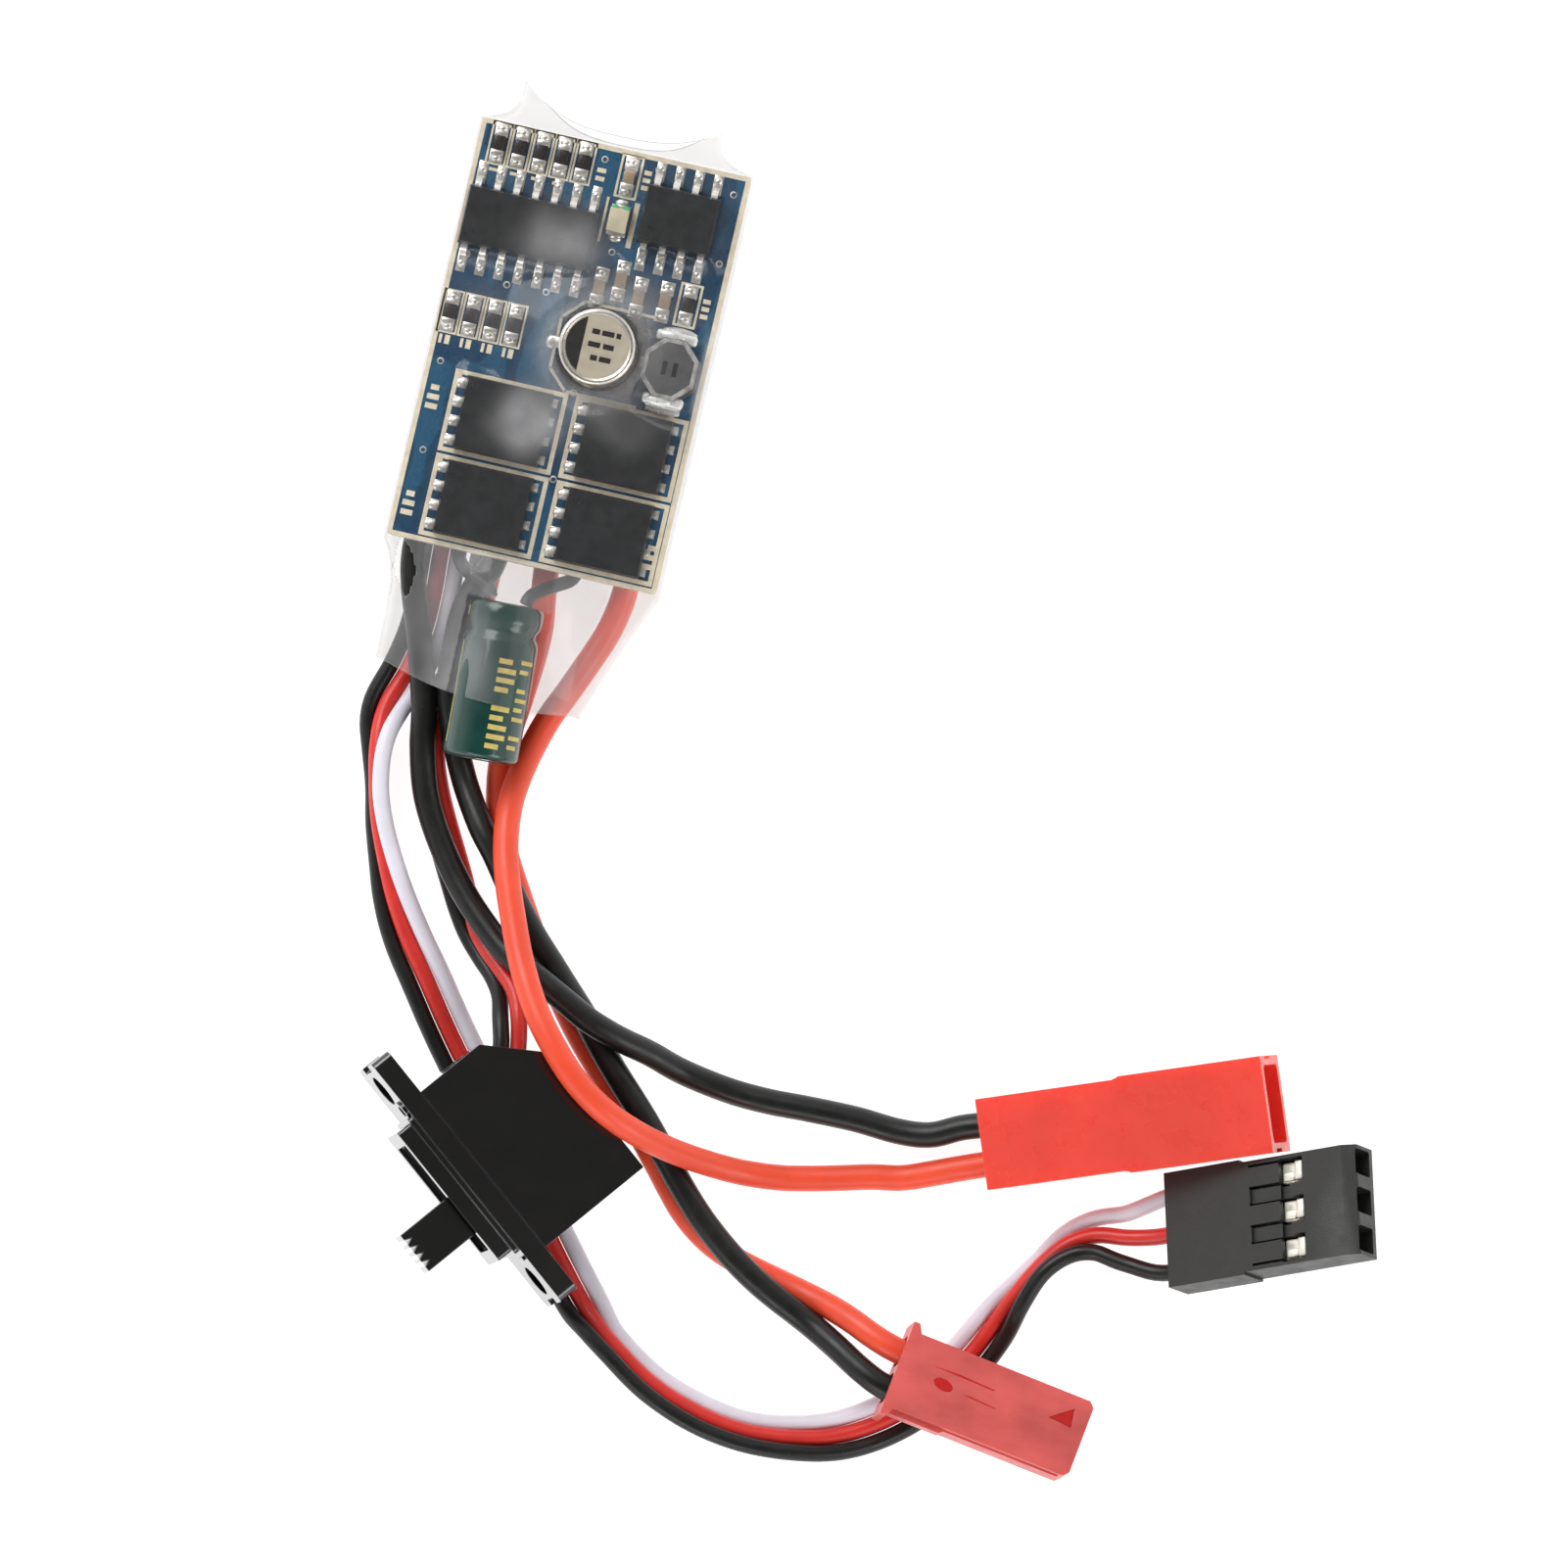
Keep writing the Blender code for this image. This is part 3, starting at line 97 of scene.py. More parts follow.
MOTOR_RED_ROUTE = (
    (1.5, -10.5, 2.35), (1.5, -13.0, 2.1), (1.7, -15.3, 1.4), (2.0, -17.5, 1.12), (2.0, -19.5, 1.08),
    (1.8, -22.1, 1.05), (1.5, -25.2, 0.95), (1.5, -27.0, 0.9), (1.8, -28.9, 0.88), (2.3, -30.7, 0.88),
    (3.2, -32.7, 0.88), (4.7, -35.2, 0.88), (6.4, -37.8, 0.88), (8.3, -40.3, 0.88), (10.4, -42.9, 0.88),
    (12.6, -45.2, 0.88), (15.1, -47.6, 0.88), (17.2, -49.9, 0.88), (18.4, -51.3, 0.88),
    (19.5, -52.5, 0.88), (20.7, -53.5, 0.88), (22.0, -54.3, 0.88), (23.5, -54.9, 0.88),
    (25.0, -55.3, 0.88), (26.8, -55.7, 0.88), (28.8, -56.15, 1.25), (30.45, -56.55, 2.1),
    (32.1, -57.1, 3.1), (33.8, -57.8, 3.85), (35.6, -58.34, 4.05), (38.25, -58.76, 3.72),
)


def cable(rows):
    """Rows of x, y and z; roll, 0 degrees if left out; and spacing, FLAT_PITCH if left out."""
    return [row + (0, FLAT_PITCH)[len(row) - 3:] for row in rows]


# Flat cables: the middle of the cable, its roll in degrees and the spacing of its wires.
RECEIVER_CABLE_ROUTE = cable((
    (-5.5, -10.5, 0.85), (-5.5, -14.1, 0.85), (-5.35, -16.8, 0.85), (-5.4, -19.6, 0.85),
    (-5.9, -22.3, 0.85, -2), (-6.7, -24.9, 1.1, -22), (-6.65, -27.3, 1.6, -58), (-6.1, -29.9, 1.7, -74),
    (-5.4, -32.3, 1.68, -68), (-4.4, -34.7, 1.55, -56), (-3.3, -37.0, 1.33, -38),
    (-1.9, -39.3, 1.05, -20), (-0.1, -41.7, 0.8, -8), (1.6, -44.0, 0.66), (3.1, -45.9, 0.62),
    (6.4, -49.9, 0.62), (9.5, -53.7, 0.6), (12.1, -57.0, 0.62, 2), (14.4, -59.7, 0.85, 14),
    (15.8, -61.05, 1.35, 42), (17.1, -62.1, 1.52, 54), (20.1, -64.0, 1.5, 53), (23.4, -65.2, 1.45, 48),
    (26.7, -65.7, 1.42, 46), (30.0, -65.4, 1.28, 36), (33.0, -64.5, 0.98, 18), (35.7, -62.8, 0.7, 2),
    (37.9, -60.6, 0.64), (39.7, -58.1, 0.62), (40.9, -55.7, 0.95, 18), (42.0, -53.2, 1.55, 52),
    (43.2, -50.9, 1.9, 68), (44.6, -49.1, 2.15, 52), (46.3, -48.1, 2.55, 30, 1.3),
    (48.3, -47.8, 3.2, 16, 1.75), (50.05, -47.36, 3.82, 14, 2.35), (51.3, -46.85, 4.5, 15, 2.54),
    (52.65, -46.28, 5.27, 15, 2.54),
))
SWITCH_CABLE_ROUTE = cable((
    (-2.45, -10.5, 0.85), (-2.45, -14.3, 0.85), (-2.45, -17.5, 0.85), (-2.55, -20.8, 0.8),
    (-3.4, -24.0, 0.72), (-3.55, -26.0, 0.65), (-3.2, -27.8, 0.62), (-2.5, -29.6, 0.62),
    (-1.6, -31.4, 0.62), (-0.6, -33.2, 0.62), (0.35, -34.9, 0.68, -8), (1.2, -36.5, 0.9, -28),
    (2.1, -38.0, 1.2, -48), (3.2, -39.2, 1.65, -52), (4.4, -40.3, 2.4, -48), (5.4, -41.5, 3.3, -28, 1.2),
    (5.96, -42.95, 4.14, -6, 1.2), (6.34, -44.41, 4.39, 12), (6.49, -45.49, 4.49, 12),
))
BULK_LEADS = (
    ((0.95, -16.45, 4.6), (1.1, -15.9, 4.45), (1.7, -15.3, 3.95), (2.6, -14.7, 3.25), (3.4, -14.1, 2.8),
     (3.7, -13.0, 2.72), (3.7, -12.0, 2.72)),
    ((-1.4, -16.45, 4.6), (-1.7, -15.9, 4.5), (-2.6, -15.5, 4.05), (-3.6, -15.0, 3.4), (-4.2, -14.2, 2.85),
     (-4.4, -13.0, 2.72), (-4.4, -12.0, 2.72)),
)

# group, colour, route, spacings right of a flat cable's middle (None for a single wire), length in metres
WIRES = (
    ("battery", "black", BATTERY_BLACK_ROUTE, None, 0.0695),
    ("battery", "red", BATTERY_RED_ROUTE, None, 0.073),
    ("motor", "black", MOTOR_BLACK_ROUTE, None, 0.071),
    ("motor", "red", MOTOR_RED_ROUTE, None, 0.069),
    ("receiver", "black", RECEIVER_CABLE_ROUTE, 1.0, 0.1085),
    ("receiver", "red", RECEIVER_CABLE_ROUTE, 0.0, 0.106),
    ("receiver", "white", RECEIVER_CABLE_ROUTE, -1.0, 0.1045),
    ("switch", "black", SWITCH_CABLE_ROUTE, 0.5, 0.039),
    ("switch", "red", SWITCH_CABLE_ROUTE, -0.5, 0.0385),
)


# ---------------------------------------------------------------- finishes
def feed(material, socket, value):
    """Fill a node's input with another node's output, a colour or a number."""
    if isinstance(value, bpy.types.NodeSocket):
        material.node_tree.links.new(value, socket)
    elif socket.type == "RGBA":
        socket.default_value = (*value, 1.0)
    else:
        socket.default_value = value


def fill(material, node, **inputs):
    """Feed a node's inputs by name, with _ for each space."""
    for key, value in inputs.items():
        feed(material, node.inputs[key.replace("_", " ")], value)
    return node


def add_node(material, kind, **inputs):
    return fill(material, material.node_tree.nodes.new("ShaderNode" + kind), **inputs)


def new_material(name):
    material = bpy.data.materials.new(name)
    material.use_nodes = True
    return material, material.node_tree.nodes["Principled BSDF"]


def noise_at(material, size, detail=3.0, stretch=(1.0, 1.0, 1.0)):
    """Noise whose features are about `size` mm across, in the piece's own coordinates."""
    place = add_node(material, "TexCoord").outputs["Object"]
    stretched = add_node(material, "Mapping", Scale=stretch, Vector=place).outputs["Vector"]
    return add_node(material, "TexNoise", Scale=1.0 / (size * MM), Detail=detail,
                    Vector=stretched).outputs["Fac"]


def ramp(material, source, *stops):
    """A colour ramp whose stops are (place, colour or grey)."""
    node = add_node(material, "ValToRGB", Fac=source)
    elements = node.color_ramp.elements
    while len(elements) < len(stops):
        elements.new(0.5)
    for element, (position, colour) in zip(elements, stops):
        shade = (colour,) * 3 if isinstance(colour, float) else colour
        element.position = position
        element.color = (*shade, 1.0)
    return node.outputs["Color"]


def blend_colours(material, share, first, second):
    node = material.node_tree.nodes.new("ShaderNodeMix")
    node.data_type = "RGBA"
    for number, value in ((0, share), (6, first), (7, second)):
        feed(material, node.inputs[number], value)
    return node.outputs[2]


def blend_shaders(material, share, first, second):
    node = add_node(material, "MixShader", Fac=share)
    for number, value in ((1, first), (2, second)):
        feed(material, node.inputs[number], value)
    return node.outputs["Shader"]


def add_relief(material, source, height, strength=1.0):
    """Fine relief of about `height` mm from a texture."""
    return add_node(material, "Bump", Strength=strength, Distance=height * MM,
                    Height=source).outputs["Normal"]


def shade_of(colour, factor):
    return tuple(min(1.0, channel * factor) for channel in colour)


def surface(name, colour, roughness, patch=1.5, grain=0.15, height=0.01, spread=0.12, gloss=0.08,
            metallic=0.0, stretch=(1.0, 1.0, 1.0), specks=None, **fixed):
    """A finish with slow colour changes `patch` mm wide, fine relief `grain` mm wide and uneven gloss."""
    material, shader = new_material(name)
    colours = ramp(material, noise_at(material, patch, 4.0, stretch),
                   (0.3, shade_of(colour, 1.0 - spread)), (0.7, shade_of(colour, 1.0 + spread)))
    if specks:
        dots = ramp(material, noise_at(material, 0.16, 1.0), (0.74, 0.0), (0.8, 0.7))
        colours = blend_colours(material, dots, colours, specks)
    shine = ramp(material, noise_at(material, patch * 0.6, 5.0),
                 (0.3, roughness - gloss), (0.7, roughness + gloss))
    fine = add_relief(material, noise_at(material, grain, 2.0, stretch), height)
    fill(material, shader, Base_Color=colours, Roughness=shine, Normal=fine, Metallic=metallic, **fixed)
    return material


def laminate(name):
    """The cut edge of a glass-fibre board: thin layers, lighter and darker."""
    material, shader = new_material(name)
    layers = noise_at(material, 0.35, 3.0, (0.12, 0.12, 4.0))
    colours = ramp(material, layers, (0.3, (0.42, 0.36, 0.22)), (0.55, (0.66, 0.6, 0.44)),
                   (0.8, (0.78, 0.73, 0.58)))
    fill(material, shader, Base_Color=colours, Roughness=0.6, Normal=add_relief(material, layers, 0.02))
    return material


def solder_mask(name):
    """Glossy lacquer over copper: lighter where copper lies beneath, with a fine weave in it."""
    material, shader = new_material(name)
    copper = ramp(material, noise_at(material, 2.6, 1.0, (1.0, 0.35, 1.0)), (0.47, 0.0), (0.5, 1.0))
    weave = noise_at(material, 0.25, 2.0, (3.0, 0.6, 1.0))
    dark = ramp(material, weave, (0.3, (0.008, 0.045, 0.1)), (0.7, (0.013, 0.065, 0.135)))
    light = ramp(material, weave, (0.3, (0.014, 0.085, 0.165)), (0.7, (0.024, 0.11, 0.21)))
    shine = ramp(material, noise_at(material, 0.8, 4.0), (0.3, 0.22), (0.7, 0.36))
    fill(material, shader, Base_Color=blend_colours(material, copper, dark, light), Roughness=shine,
         Normal=add_relief(material, copper, 0.02, 0.6))
    return material


def reflect_more_aslant(material):
    """How strongly the film's gloss shows: a little face on, and much more at a slant."""
    slant = add_node(material, "LayerWeight", Blend=0.5)
    steep = add_node(material, "Math")
    steep.operation = "POWER"
    feed(material, steep.inputs[0], slant.outputs["Facing"])
    feed(material, steep.inputs[1], 4.5)
    share = add_node(material, "Math")
    share.operation = "MULTIPLY_ADD"
    for number, value in enumerate((steep.outputs["Value"], 0.4, 0.014)):
        feed(material, share.inputs[number], value)
    return share.outputs["Value"]


def clear_film(name, milk_from_mesh):
    """Thin clear film: see-through where it lies on a part, milky where it stands off."""
    material, milky = new_material(name)
    relief = add_relief(material, noise_at(material, 0.9, 3.0, (1.0, 0.4, 1.0)), 0.03, 0.35)
    haze = ramp(material, noise_at(material, 1.4, 4.0), (0.3, (0.5, 0.5, 0.515)), (0.7, (0.62, 0.62, 0.63)))
    fill(material, milky, Base_Color=haze, Roughness=0.35, Normal=relief)
    see_through = add_node(material, "BsdfTransparent", Color=(0.985, 0.98, 0.975)).outputs["BSDF"]
    if milk_from_mesh:
        milk = add_node(material, "Attribute")
        milk.attribute_name = "milk"
        see_through = blend_shaders(material, milk.outputs["Fac"], see_through, milky.outputs["BSDF"])
    gloss = add_node(material, "BsdfGlossy", Roughness=0.12, Normal=relief)
    coat = blend_shaders(material, reflect_more_aslant(material), see_through, gloss.outputs["BSDF"])
    fill(material, material.node_tree.nodes["Material Output"], Surface=coat)
    return material


def film_edge(name):
    """The cut edge of the film, where it looks greyest."""
    material, milky = new_material(name)
    haze = ramp(material, noise_at(material, 0.7), (0.3, (0.34, 0.32, 0.3)), (0.7, (0.5, 0.48, 0.46)))
    fill(material, milky, Base_Color=haze, Roughness=0.3)
    clear = add_node(material, "BsdfTransparent").outputs["BSDF"]
    fill(material, material.node_tree.nodes["Material Output"],
         Surface=blend_shaders(material, 0.75, clear, milky.outputs["BSDF"]))
    return material


PAINT = {
    "black": surface("black_silicone", (0.0085, 0.0085, 0.008), 0.36, 2.0, 0.08, 0.006, 0.2,
                     specks=(0.06, 0.06, 0.058), Specular_IOR_Level=0.4),
    "red": surface("red_silicone", (0.83, 0.075, 0.028), 0.4, 2.2, 0.09, 0.006, 0.07,
                   specks=(0.9, 0.2, 0.12), Subsurface_Weight=0.08, Subsurface_Scale=0.0006),
    "deep_red": surface("deep_red_silicone", (0.68, 0.03, 0.022), 0.36, 1.8, 0.08, 0.006, 0.08),
    "white": surface("white_silicone", (0.76, 0.74, 0.82), 0.4, 1.8, 0.1, 0.006, 0.04),
    "chip": surface("moulded_epoxy", (0.011, 0.0125, 0.0145), 0.42, 1.2, 0.07, 0.01, 0.22,
                    specks=(0.03, 0.032, 0.036)),
    "black_plastic": surface("black_plastic", (0.0055, 0.005, 0.0045), 0.13, 2.5, 0.3, 0.003, 0.2, 0.04,
                             specks=(0.016, 0.016, 0.015), Coat_Weight=0.9, Coat_Roughness=0.1),
    "matt_plastic": surface("matt_black_plastic", (0.019, 0.019, 0.0175), 0.44, 1.6, 0.09, 0.012),
    "red_plastic": surface("red_plastic", (0.8, 0.07, 0.048), 0.3, 3.0, 0.3, 0.012, 0.06,
                           Subsurface_Weight=0.6, Subsurface_Scale=0.002),
    "pink_plastic": surface("pink_red_plastic", (0.62, 0.1, 0.09), 0.4, 1.9, 0.12, 0.016, 0.16, 0.1,
                            stretch=(0.5, 1.0, 1.0), specks=(0.42, 0.2, 0.17), Subsurface_Weight=0.12,
                            Subsurface_Scale=0.0008),
    "tin": surface("tinned_metal", (0.86, 0.84, 0.8), 0.36, 0.5, 0.2, 0.007, 0.1, 0.08, 1.0),
    "aluminium": surface("drawn_aluminium", (0.8, 0.77, 0.7), 0.3, 1.2, 0.1, 0.008, 0.08, 0.08, 1.0,
                         (1.0, 1.0, 6.0)),
    "print_face": surface("lacquered_aluminium", (0.6, 0.54, 0.43), 0.42, 0.8, 0.08, 0.006, 0.05,
                          0.06, 0.45),
    "contact": surface("plated_contact", (0.9, 0.86, 0.76), 0.4, 0.5, 0.2, 0.01, 0.08, 0.05, 0.55),
    # Dark red for the motor connector: painted shade on the floors of its dimple and triangular recess, and
    # its thin darker lines on top.
    "dark_red": surface("dark_red_marks_and_recess_shade", (0.5, 0.012, 0.012), 0.3, 0.8, 0.1),
    # Painted highlight: a pale, half-metallic grey that paints the glare of the inductor's terminals into
    # their colour, in place of tinned metal.
    "glare": surface("terminal_painted_glare", (0.72, 0.72, 0.7), 0.3, 0.6, 0.1, 0.02, 0.12, 0.1, 0.35),
    "copper": surface("enamelled_copper", (0.55, 0.2, 0.07), 0.25, 0.6, 0.1, 0.01, 0.15, 0.06, 0.9),
    "ferrite": surface("ferrite", (0.085, 0.085, 0.088), 0.55, 0.9, 0.09, 0.02, 0.22,
                       specks=(0.12, 0.12, 0.12)),
    # Painted highlight: a light grey for the ring along the top edge of the inductor's core, where highlights
    # fall.
    "ferrite_edge": surface("ferrite_edge_painted_highlight", (0.34, 0.34, 0.335), 0.35, 0.5, 0.09, 0.015, 0.5),
    "ceramic": surface("tan_ceramic", (0.3, 0.22, 0.14), 0.45, 0.6, 0.09, 0.01, 0.15),
    "resistor": surface("resistor_glaze", (0.022, 0.016, 0.014), 0.3, 0.5, 0.1, 0.01, 0.3),
    "silk": surface("board_print", (0.78, 0.7, 0.54), 0.55, 0.5, 0.08, 0.012),
    "fibre": laminate("board_edge"),
    "mask": solder_mask("solder_mask"),
    "green": surface("green_wrap", (0.003, 0.042, 0.033), 0.2, 2.4, 0.3, 0.01, 0.25, 0.06,
                     Coat_Weight=0.4, Coat_Roughness=0.1),
    "gold": surface("gold_ink", (0.56, 0.44, 0.12), 0.42, 0.4, 0.08, 0.006, 0.14),
    "black_ink": surface("black_ink", (0.016, 0.015, 0.014), 0.35, 0.6, 0.08, 0.006, 0.2),
    "led": surface("led_resin", (0.7, 0.64, 0.47), 0.22, 0.7, 0.12, 0.01, 0.1,
                   Subsurface_Weight=0.3, Subsurface_Scale=0.0004),
    "led_green": surface("led_green", (0.08, 0.55, 0.28), 0.4, 0.3, 0.08, 0.006, 0.2),
    "rubber": surface("seal_rubber", (0.025, 0.025, 0.024), 0.62, 0.8, 0.08, 0.015, 0.15),
    "film": clear_film("film_outside", True),
    "film_inside": clear_film("film_inside", False),
    "film_edge": film_edge("film_edge"),
    "floor": surface("pale_floor", (0.36, 0.36, 0.36), 0.7, 9.0, 0.6, 0.01, 0.01, 0.04,
                     Emission_Color=(1.0, 1.0, 1.0), Emission_Strength=0.91),
}


# ---------------------------------------------------------------- shapes
def made(add, *numbers):
    """A new shape, holding what one of the add functions makes."""
    edit = bmesh.new()
    add(edit, *numbers)
    return edit


def add_box(edit, centre, size, edge=0.0, segments=2, turn=0.0):
    """A box with rounded edges, turned about Z by `turn` degrees."""
    matrix = (Matrix.Translation(centre) @ Matrix.Rotation(math.radians(turn), 4, "Z")
              @ Matrix.Diagonal((*size, 1.0)))
    cube = bmesh.ops.create_cube(edit, size=1.0, matrix=matrix)
    if edge:
        edges = list(dict.fromkeys(side for vertex in cube["verts"] for side in vertex.link_edges))
        bmesh.ops.bevel(edit, geom=edges, offset=edge, segments=segments, profile=0.5, affect="EDGES")


def add_prism(edit, outline, low, high):
    """A flat outline of (x, y) points, raised from low to high."""
    face = edit.faces.new([edit.verts.new((x, y, low)) for x, y in outline])
    region = bmesh.ops.extrude_face_region(edit, geom=[face])
    raised = [item for item in region["geom"] if isinstance(item, bmesh.types.BMVert)]
    bmesh.ops.translate(edit, vec=(0.0, 0.0, high - low), verts=raised)


def rectangle(centre, size, inset=0.0):
    """The corners of a rectangle, drawn in by the inset."""
    return [(centre[0] + x * (size[0] / 2 - inset), centre[1] + y * (size[1] / 2 - inset))
            for x, y in ((-1, -1), (1, -1), (1, 1), (-1, 1))]


def rounded_outline(width, depth, radius, centre=(0.0, 0.0), steps=5):
    """The corner arcs of a rectangle with round corners."""
    outline = []
    for side_x, side_y, start in ((1, 1, 0), (-1, 1, 90), (-1, -1, 180), (1, -1, 270)):
        for step in range(steps + 1):
            angle = math.radians(start + 90.0 * step / steps)
            outline.append((centre[0] + side_x * (width / 2 - radius) + radius * math.cos(angle),
                            centre[1] + side_y * (depth / 2 - radius) + radius * math.sin(angle)))
    return outline


def mirrored(line):
    """A closed outline from its upper half, a line of (x, y) points."""
    return [(x, -y) for x, y in line] + line[::-1]


def add_turned(edit, profile, matrix=HERE, steps=48):
    """A profile of (radius, height) points turned about Z; a closed profile ends where it starts."""
    rings = []
    closed = profile[0] == profile[-1]
    for radius, height in profile[:-1] if closed else profile:
        if radius == 0.0:
            rings.append([edit.verts.new(matrix @ Vector((0.0, 0.0, height)))] * steps)
            continue
        rings.append([edit.verts.new(matrix @ Vector((radius * math.cos(math.tau * step / steps),
                                                      radius * math.sin(math.tau * step / steps),
                                                      height))) for step in range(steps)])
    pairs = list(zip(rings, rings[1:]))
    if closed:
        pairs.append((rings[-1], rings[0]))
    for first, second in pairs:
        for step in range(steps):
            after = (step + 1) % steps
            corners = [first[step], first[after], second[after], second[step]]
            edit.faces.new(list(dict.fromkeys(corners)))


def add_tube(edit, start, end, radius, steps=24):
    """A closed cylinder between two points, with slightly rounded ends."""
    start, end = Vector(start), Vector(end)
    matrix = Matrix.Translation(start) @ (end - start).to_track_quat("Z", "Y").to_matrix().to_4x4()
    length = (end - start).length
    lip = min(radius, length) * 0.15
    add_turned(edit, [(0.0, 0.0), (radius - lip, 0.0), (radius, lip), (radius, length - lip),
                      (radius - lip, length), (0.0, length)], matrix, steps)


def add_post(edit, x, y, low, high, radius, steps):
    """An upright cylinder."""
    add_tube(edit, (x, y, low), (x, y, high), radius, steps)


def add_dome(edit, centre, size):
    """A rounded lump, such as solder, of the given full sizes."""
    matrix = Matrix.Translation(centre) @ Matrix.Diagonal((*size, 1.0))
    bmesh.ops.create_icosphere(edit, subdivisions=2, radius=0.5, matrix=matrix)


def add_loft(edit, outlines):
    """A closed shape through four-cornered outlines of 3-D points, one after the other."""
    rings = [[edit.verts.new(point) for point in outline] for outline in outlines]
    for first, second in zip(rings, rings[1:]):
        for step in range(4):
            after = (step + 1) % 4
            edit.faces.new((first[step], first[after], second[after], second[step]))
    edit.faces.new(rings[0])
    edit.faces.new(rings[-1])


def add_strip(edit, line, width, thick, matrix=HERE):
    """A flat strip bent along (y, z) points and `width` wide along X."""
    outlines = []
    for index, point in enumerate(line):
        before = Vector(line[max(index - 1, 0)])
        after = Vector(line[min(index + 1, len(line) - 1)])
        along = (after - before).normalized()
        aside = Vector((-along.y, along.x)) * thick / 2
        corners = []
        for x, offset in ((-width / 2, aside), (width / 2, aside), (width / 2, -aside), (-width / 2, -aside)):
            edge = Vector(point) + offset
            corners.append(matrix @ Vector((x, edge.x, edge.y)))
        outlines.append(corners)
    add_loft(edit, outlines)


def add_frame(edit, centre, size, width, low, high):
    """A printed rectangle drawn with a line of the given width."""
    outer, inner = rectangle(centre, size), rectangle(centre, size, width)
    for side in range(4):
        after = (side + 1) % 4
        add_prism(edit, [outer[side], outer[after], inner[after], inner[side]], low, high)


def link(name, data):
    """A new object in the scene."""
    obj = bpy.data.objects.new(name, data)
    bpy.context.scene.collection.objects.link(obj)
    return obj


def mesh_of(edit, name):
    """The mesh of a shape, which is used up."""
    mesh = bpy.data.meshes.new(name)
    edit.to_mesh(mesh)
    edit.free()
    return mesh


def carve(edit, tools, operation="DIFFERENCE"):
    """The shape with each tool shape cut from it, or joined to it."""
    objects = []
    for shape in [edit, *tools]:
        bmesh.ops.recalc_face_normals(shape, faces=shape.faces)
        objects.append(link("carving", mesh_of(shape, "carving")))
    for tool in objects[1:]:
        modifier = objects[0].modifiers.new("carve", "BOOLEAN")
        modifier.operation = operation
        modifier.object = tool
        modifier.solver = "EXACT"
    result = bmesh.new()
    result.from_object(objects[0], bpy.context.evaluated_depsgraph_get())
    for obj in objects:
        mesh = obj.data
        bpy.data.objects.remove(obj)
        bpy.data.meshes.remove(mesh)
    return result


def piece(name, edit, paint, place=HERE, body="controller", stands_for=(), soften=0.0, angle=35.0):
    """Turn a shape in millimetres into a finished piece that rides on a body."""
    bmesh.ops.recalc_face_normals(edit, faces=edit.faces)
    bmesh.ops.transform(edit, matrix=place @ Matrix.Scale(MM, 4), verts=edit.verts)
    mesh = mesh_of(edit, name)
    mesh.shade_smooth()
    mesh.set_sharp_from_angle(angle=math.radians(angle))
    mesh.materials.append(PAINT[paint])
    obj = link(name, mesh)
    if soften:
        bevel = obj.modifiers.new("edges", "BEVEL")
        bevel.width = soften * MM
        bevel.segments = 3
        bevel.limit_method = "ANGLE"
        bevel.angle_limit = math.radians(angle)
        bevel.harden_normals = True
    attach(obj, body)
    if stands_for:
        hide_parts(*stands_for)
    return obj


def repaint(node, paint):
    """Give a carried-over CAD node its finish."""
    mesh = NODES[node].data
    mesh.materials.clear()
    mesh.materials.append(PAINT[paint])


def box_of(node):
    """Centre and size of a CAD node, in millimetres."""
    low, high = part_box(node)
    return (low + high) / 2 / MM, (high - low) / MM


def frame_of(node, forward, anchor=(0.0, 0.5, 0.5)):
    """A square-sided CAD node's own frame, and its size in millimetres.

    X is the face direction nearest to forward and Z the upward one; the anchor says where the
    origin lies, as shares of the node's size along X, Y and Z.
    """
    mesh = NODES[node].data
    areas = {}
    for face in mesh.polygons:
        key = tuple(round(number, 2) for number in face.normal)
        total, normal = areas.get(key, (0.0, face.normal.copy()))
        areas[key] = (total + face.area, normal)
    whole = sum(total for total, normal in areas.values())
    flats = [normal for total, normal in areas.values() if total > whole * 0.02]
    along = max(flats, key=lambda normal: normal.dot(Vector(forward).normalized()))
    square = [normal for normal in flats if abs(normal.dot(along)) < 0.05]
    upward = max(square, key=lambda normal: normal.z)
    axes = (along, upward.cross(along).normalized(), upward)
    ends = []
    origin = Vector((0.0, 0.0, 0.0))
    for axis, share in zip(axes, anchor):
        reaches = [vertex.co.dot(axis) for vertex in mesh.vertices]
        low, high = min(reaches), max(reaches)
        origin += axis * (low + (high - low) * share)
        ends.append((high - low) / MM)
    return Matrix.Translation(origin) @ Matrix(axes).transposed().to_4x4(), ends


# ---------------------------------------------------------------- routes
def smooth_route(points, step):
    """Read evenly spaced points from a smooth curve through the route's own points."""
    knots = [Vector(point) for point in points]
    ends = [2 * knots[0] - knots[1]] + knots + [2 * knots[-1] - knots[-2]]
    dense = []
    fine = 24
    for index in range(1, len(ends) - 2):
        before, here, there, after = ends[index - 1:index + 3]
        for part in range(fine):
            t = part / fine
            dense.append(0.5 * (2 * here + (there - before) * t
                                + (2 * before - 5 * here + 4 * there - after) * t ** 2
                                + (3 * here - before - 3 * there + after) * t ** 3))
    dense.append(knots[-1])
    lengths = [0.0]
    for first, second in zip(dense, dense[1:]):
        lengths.append(lengths[-1] + (Vector(second[:3]) - Vector(first[:3])).length)
    count = max(2, round(lengths[-1] / step))
    even = []
    cursor = 0
    for number in range(count + 1):
        wanted = lengths[-1] * number / count
        while cursor < len(lengths) - 2 and lengths[cursor + 1] < wanted:
            cursor += 1
        span = lengths[cursor + 1] - lengths[cursor]
        share = (wanted - lengths[cursor]) / span if span else 0.0
        even.append(dense[cursor].lerp(dense[cursor + 1], share))
    return even


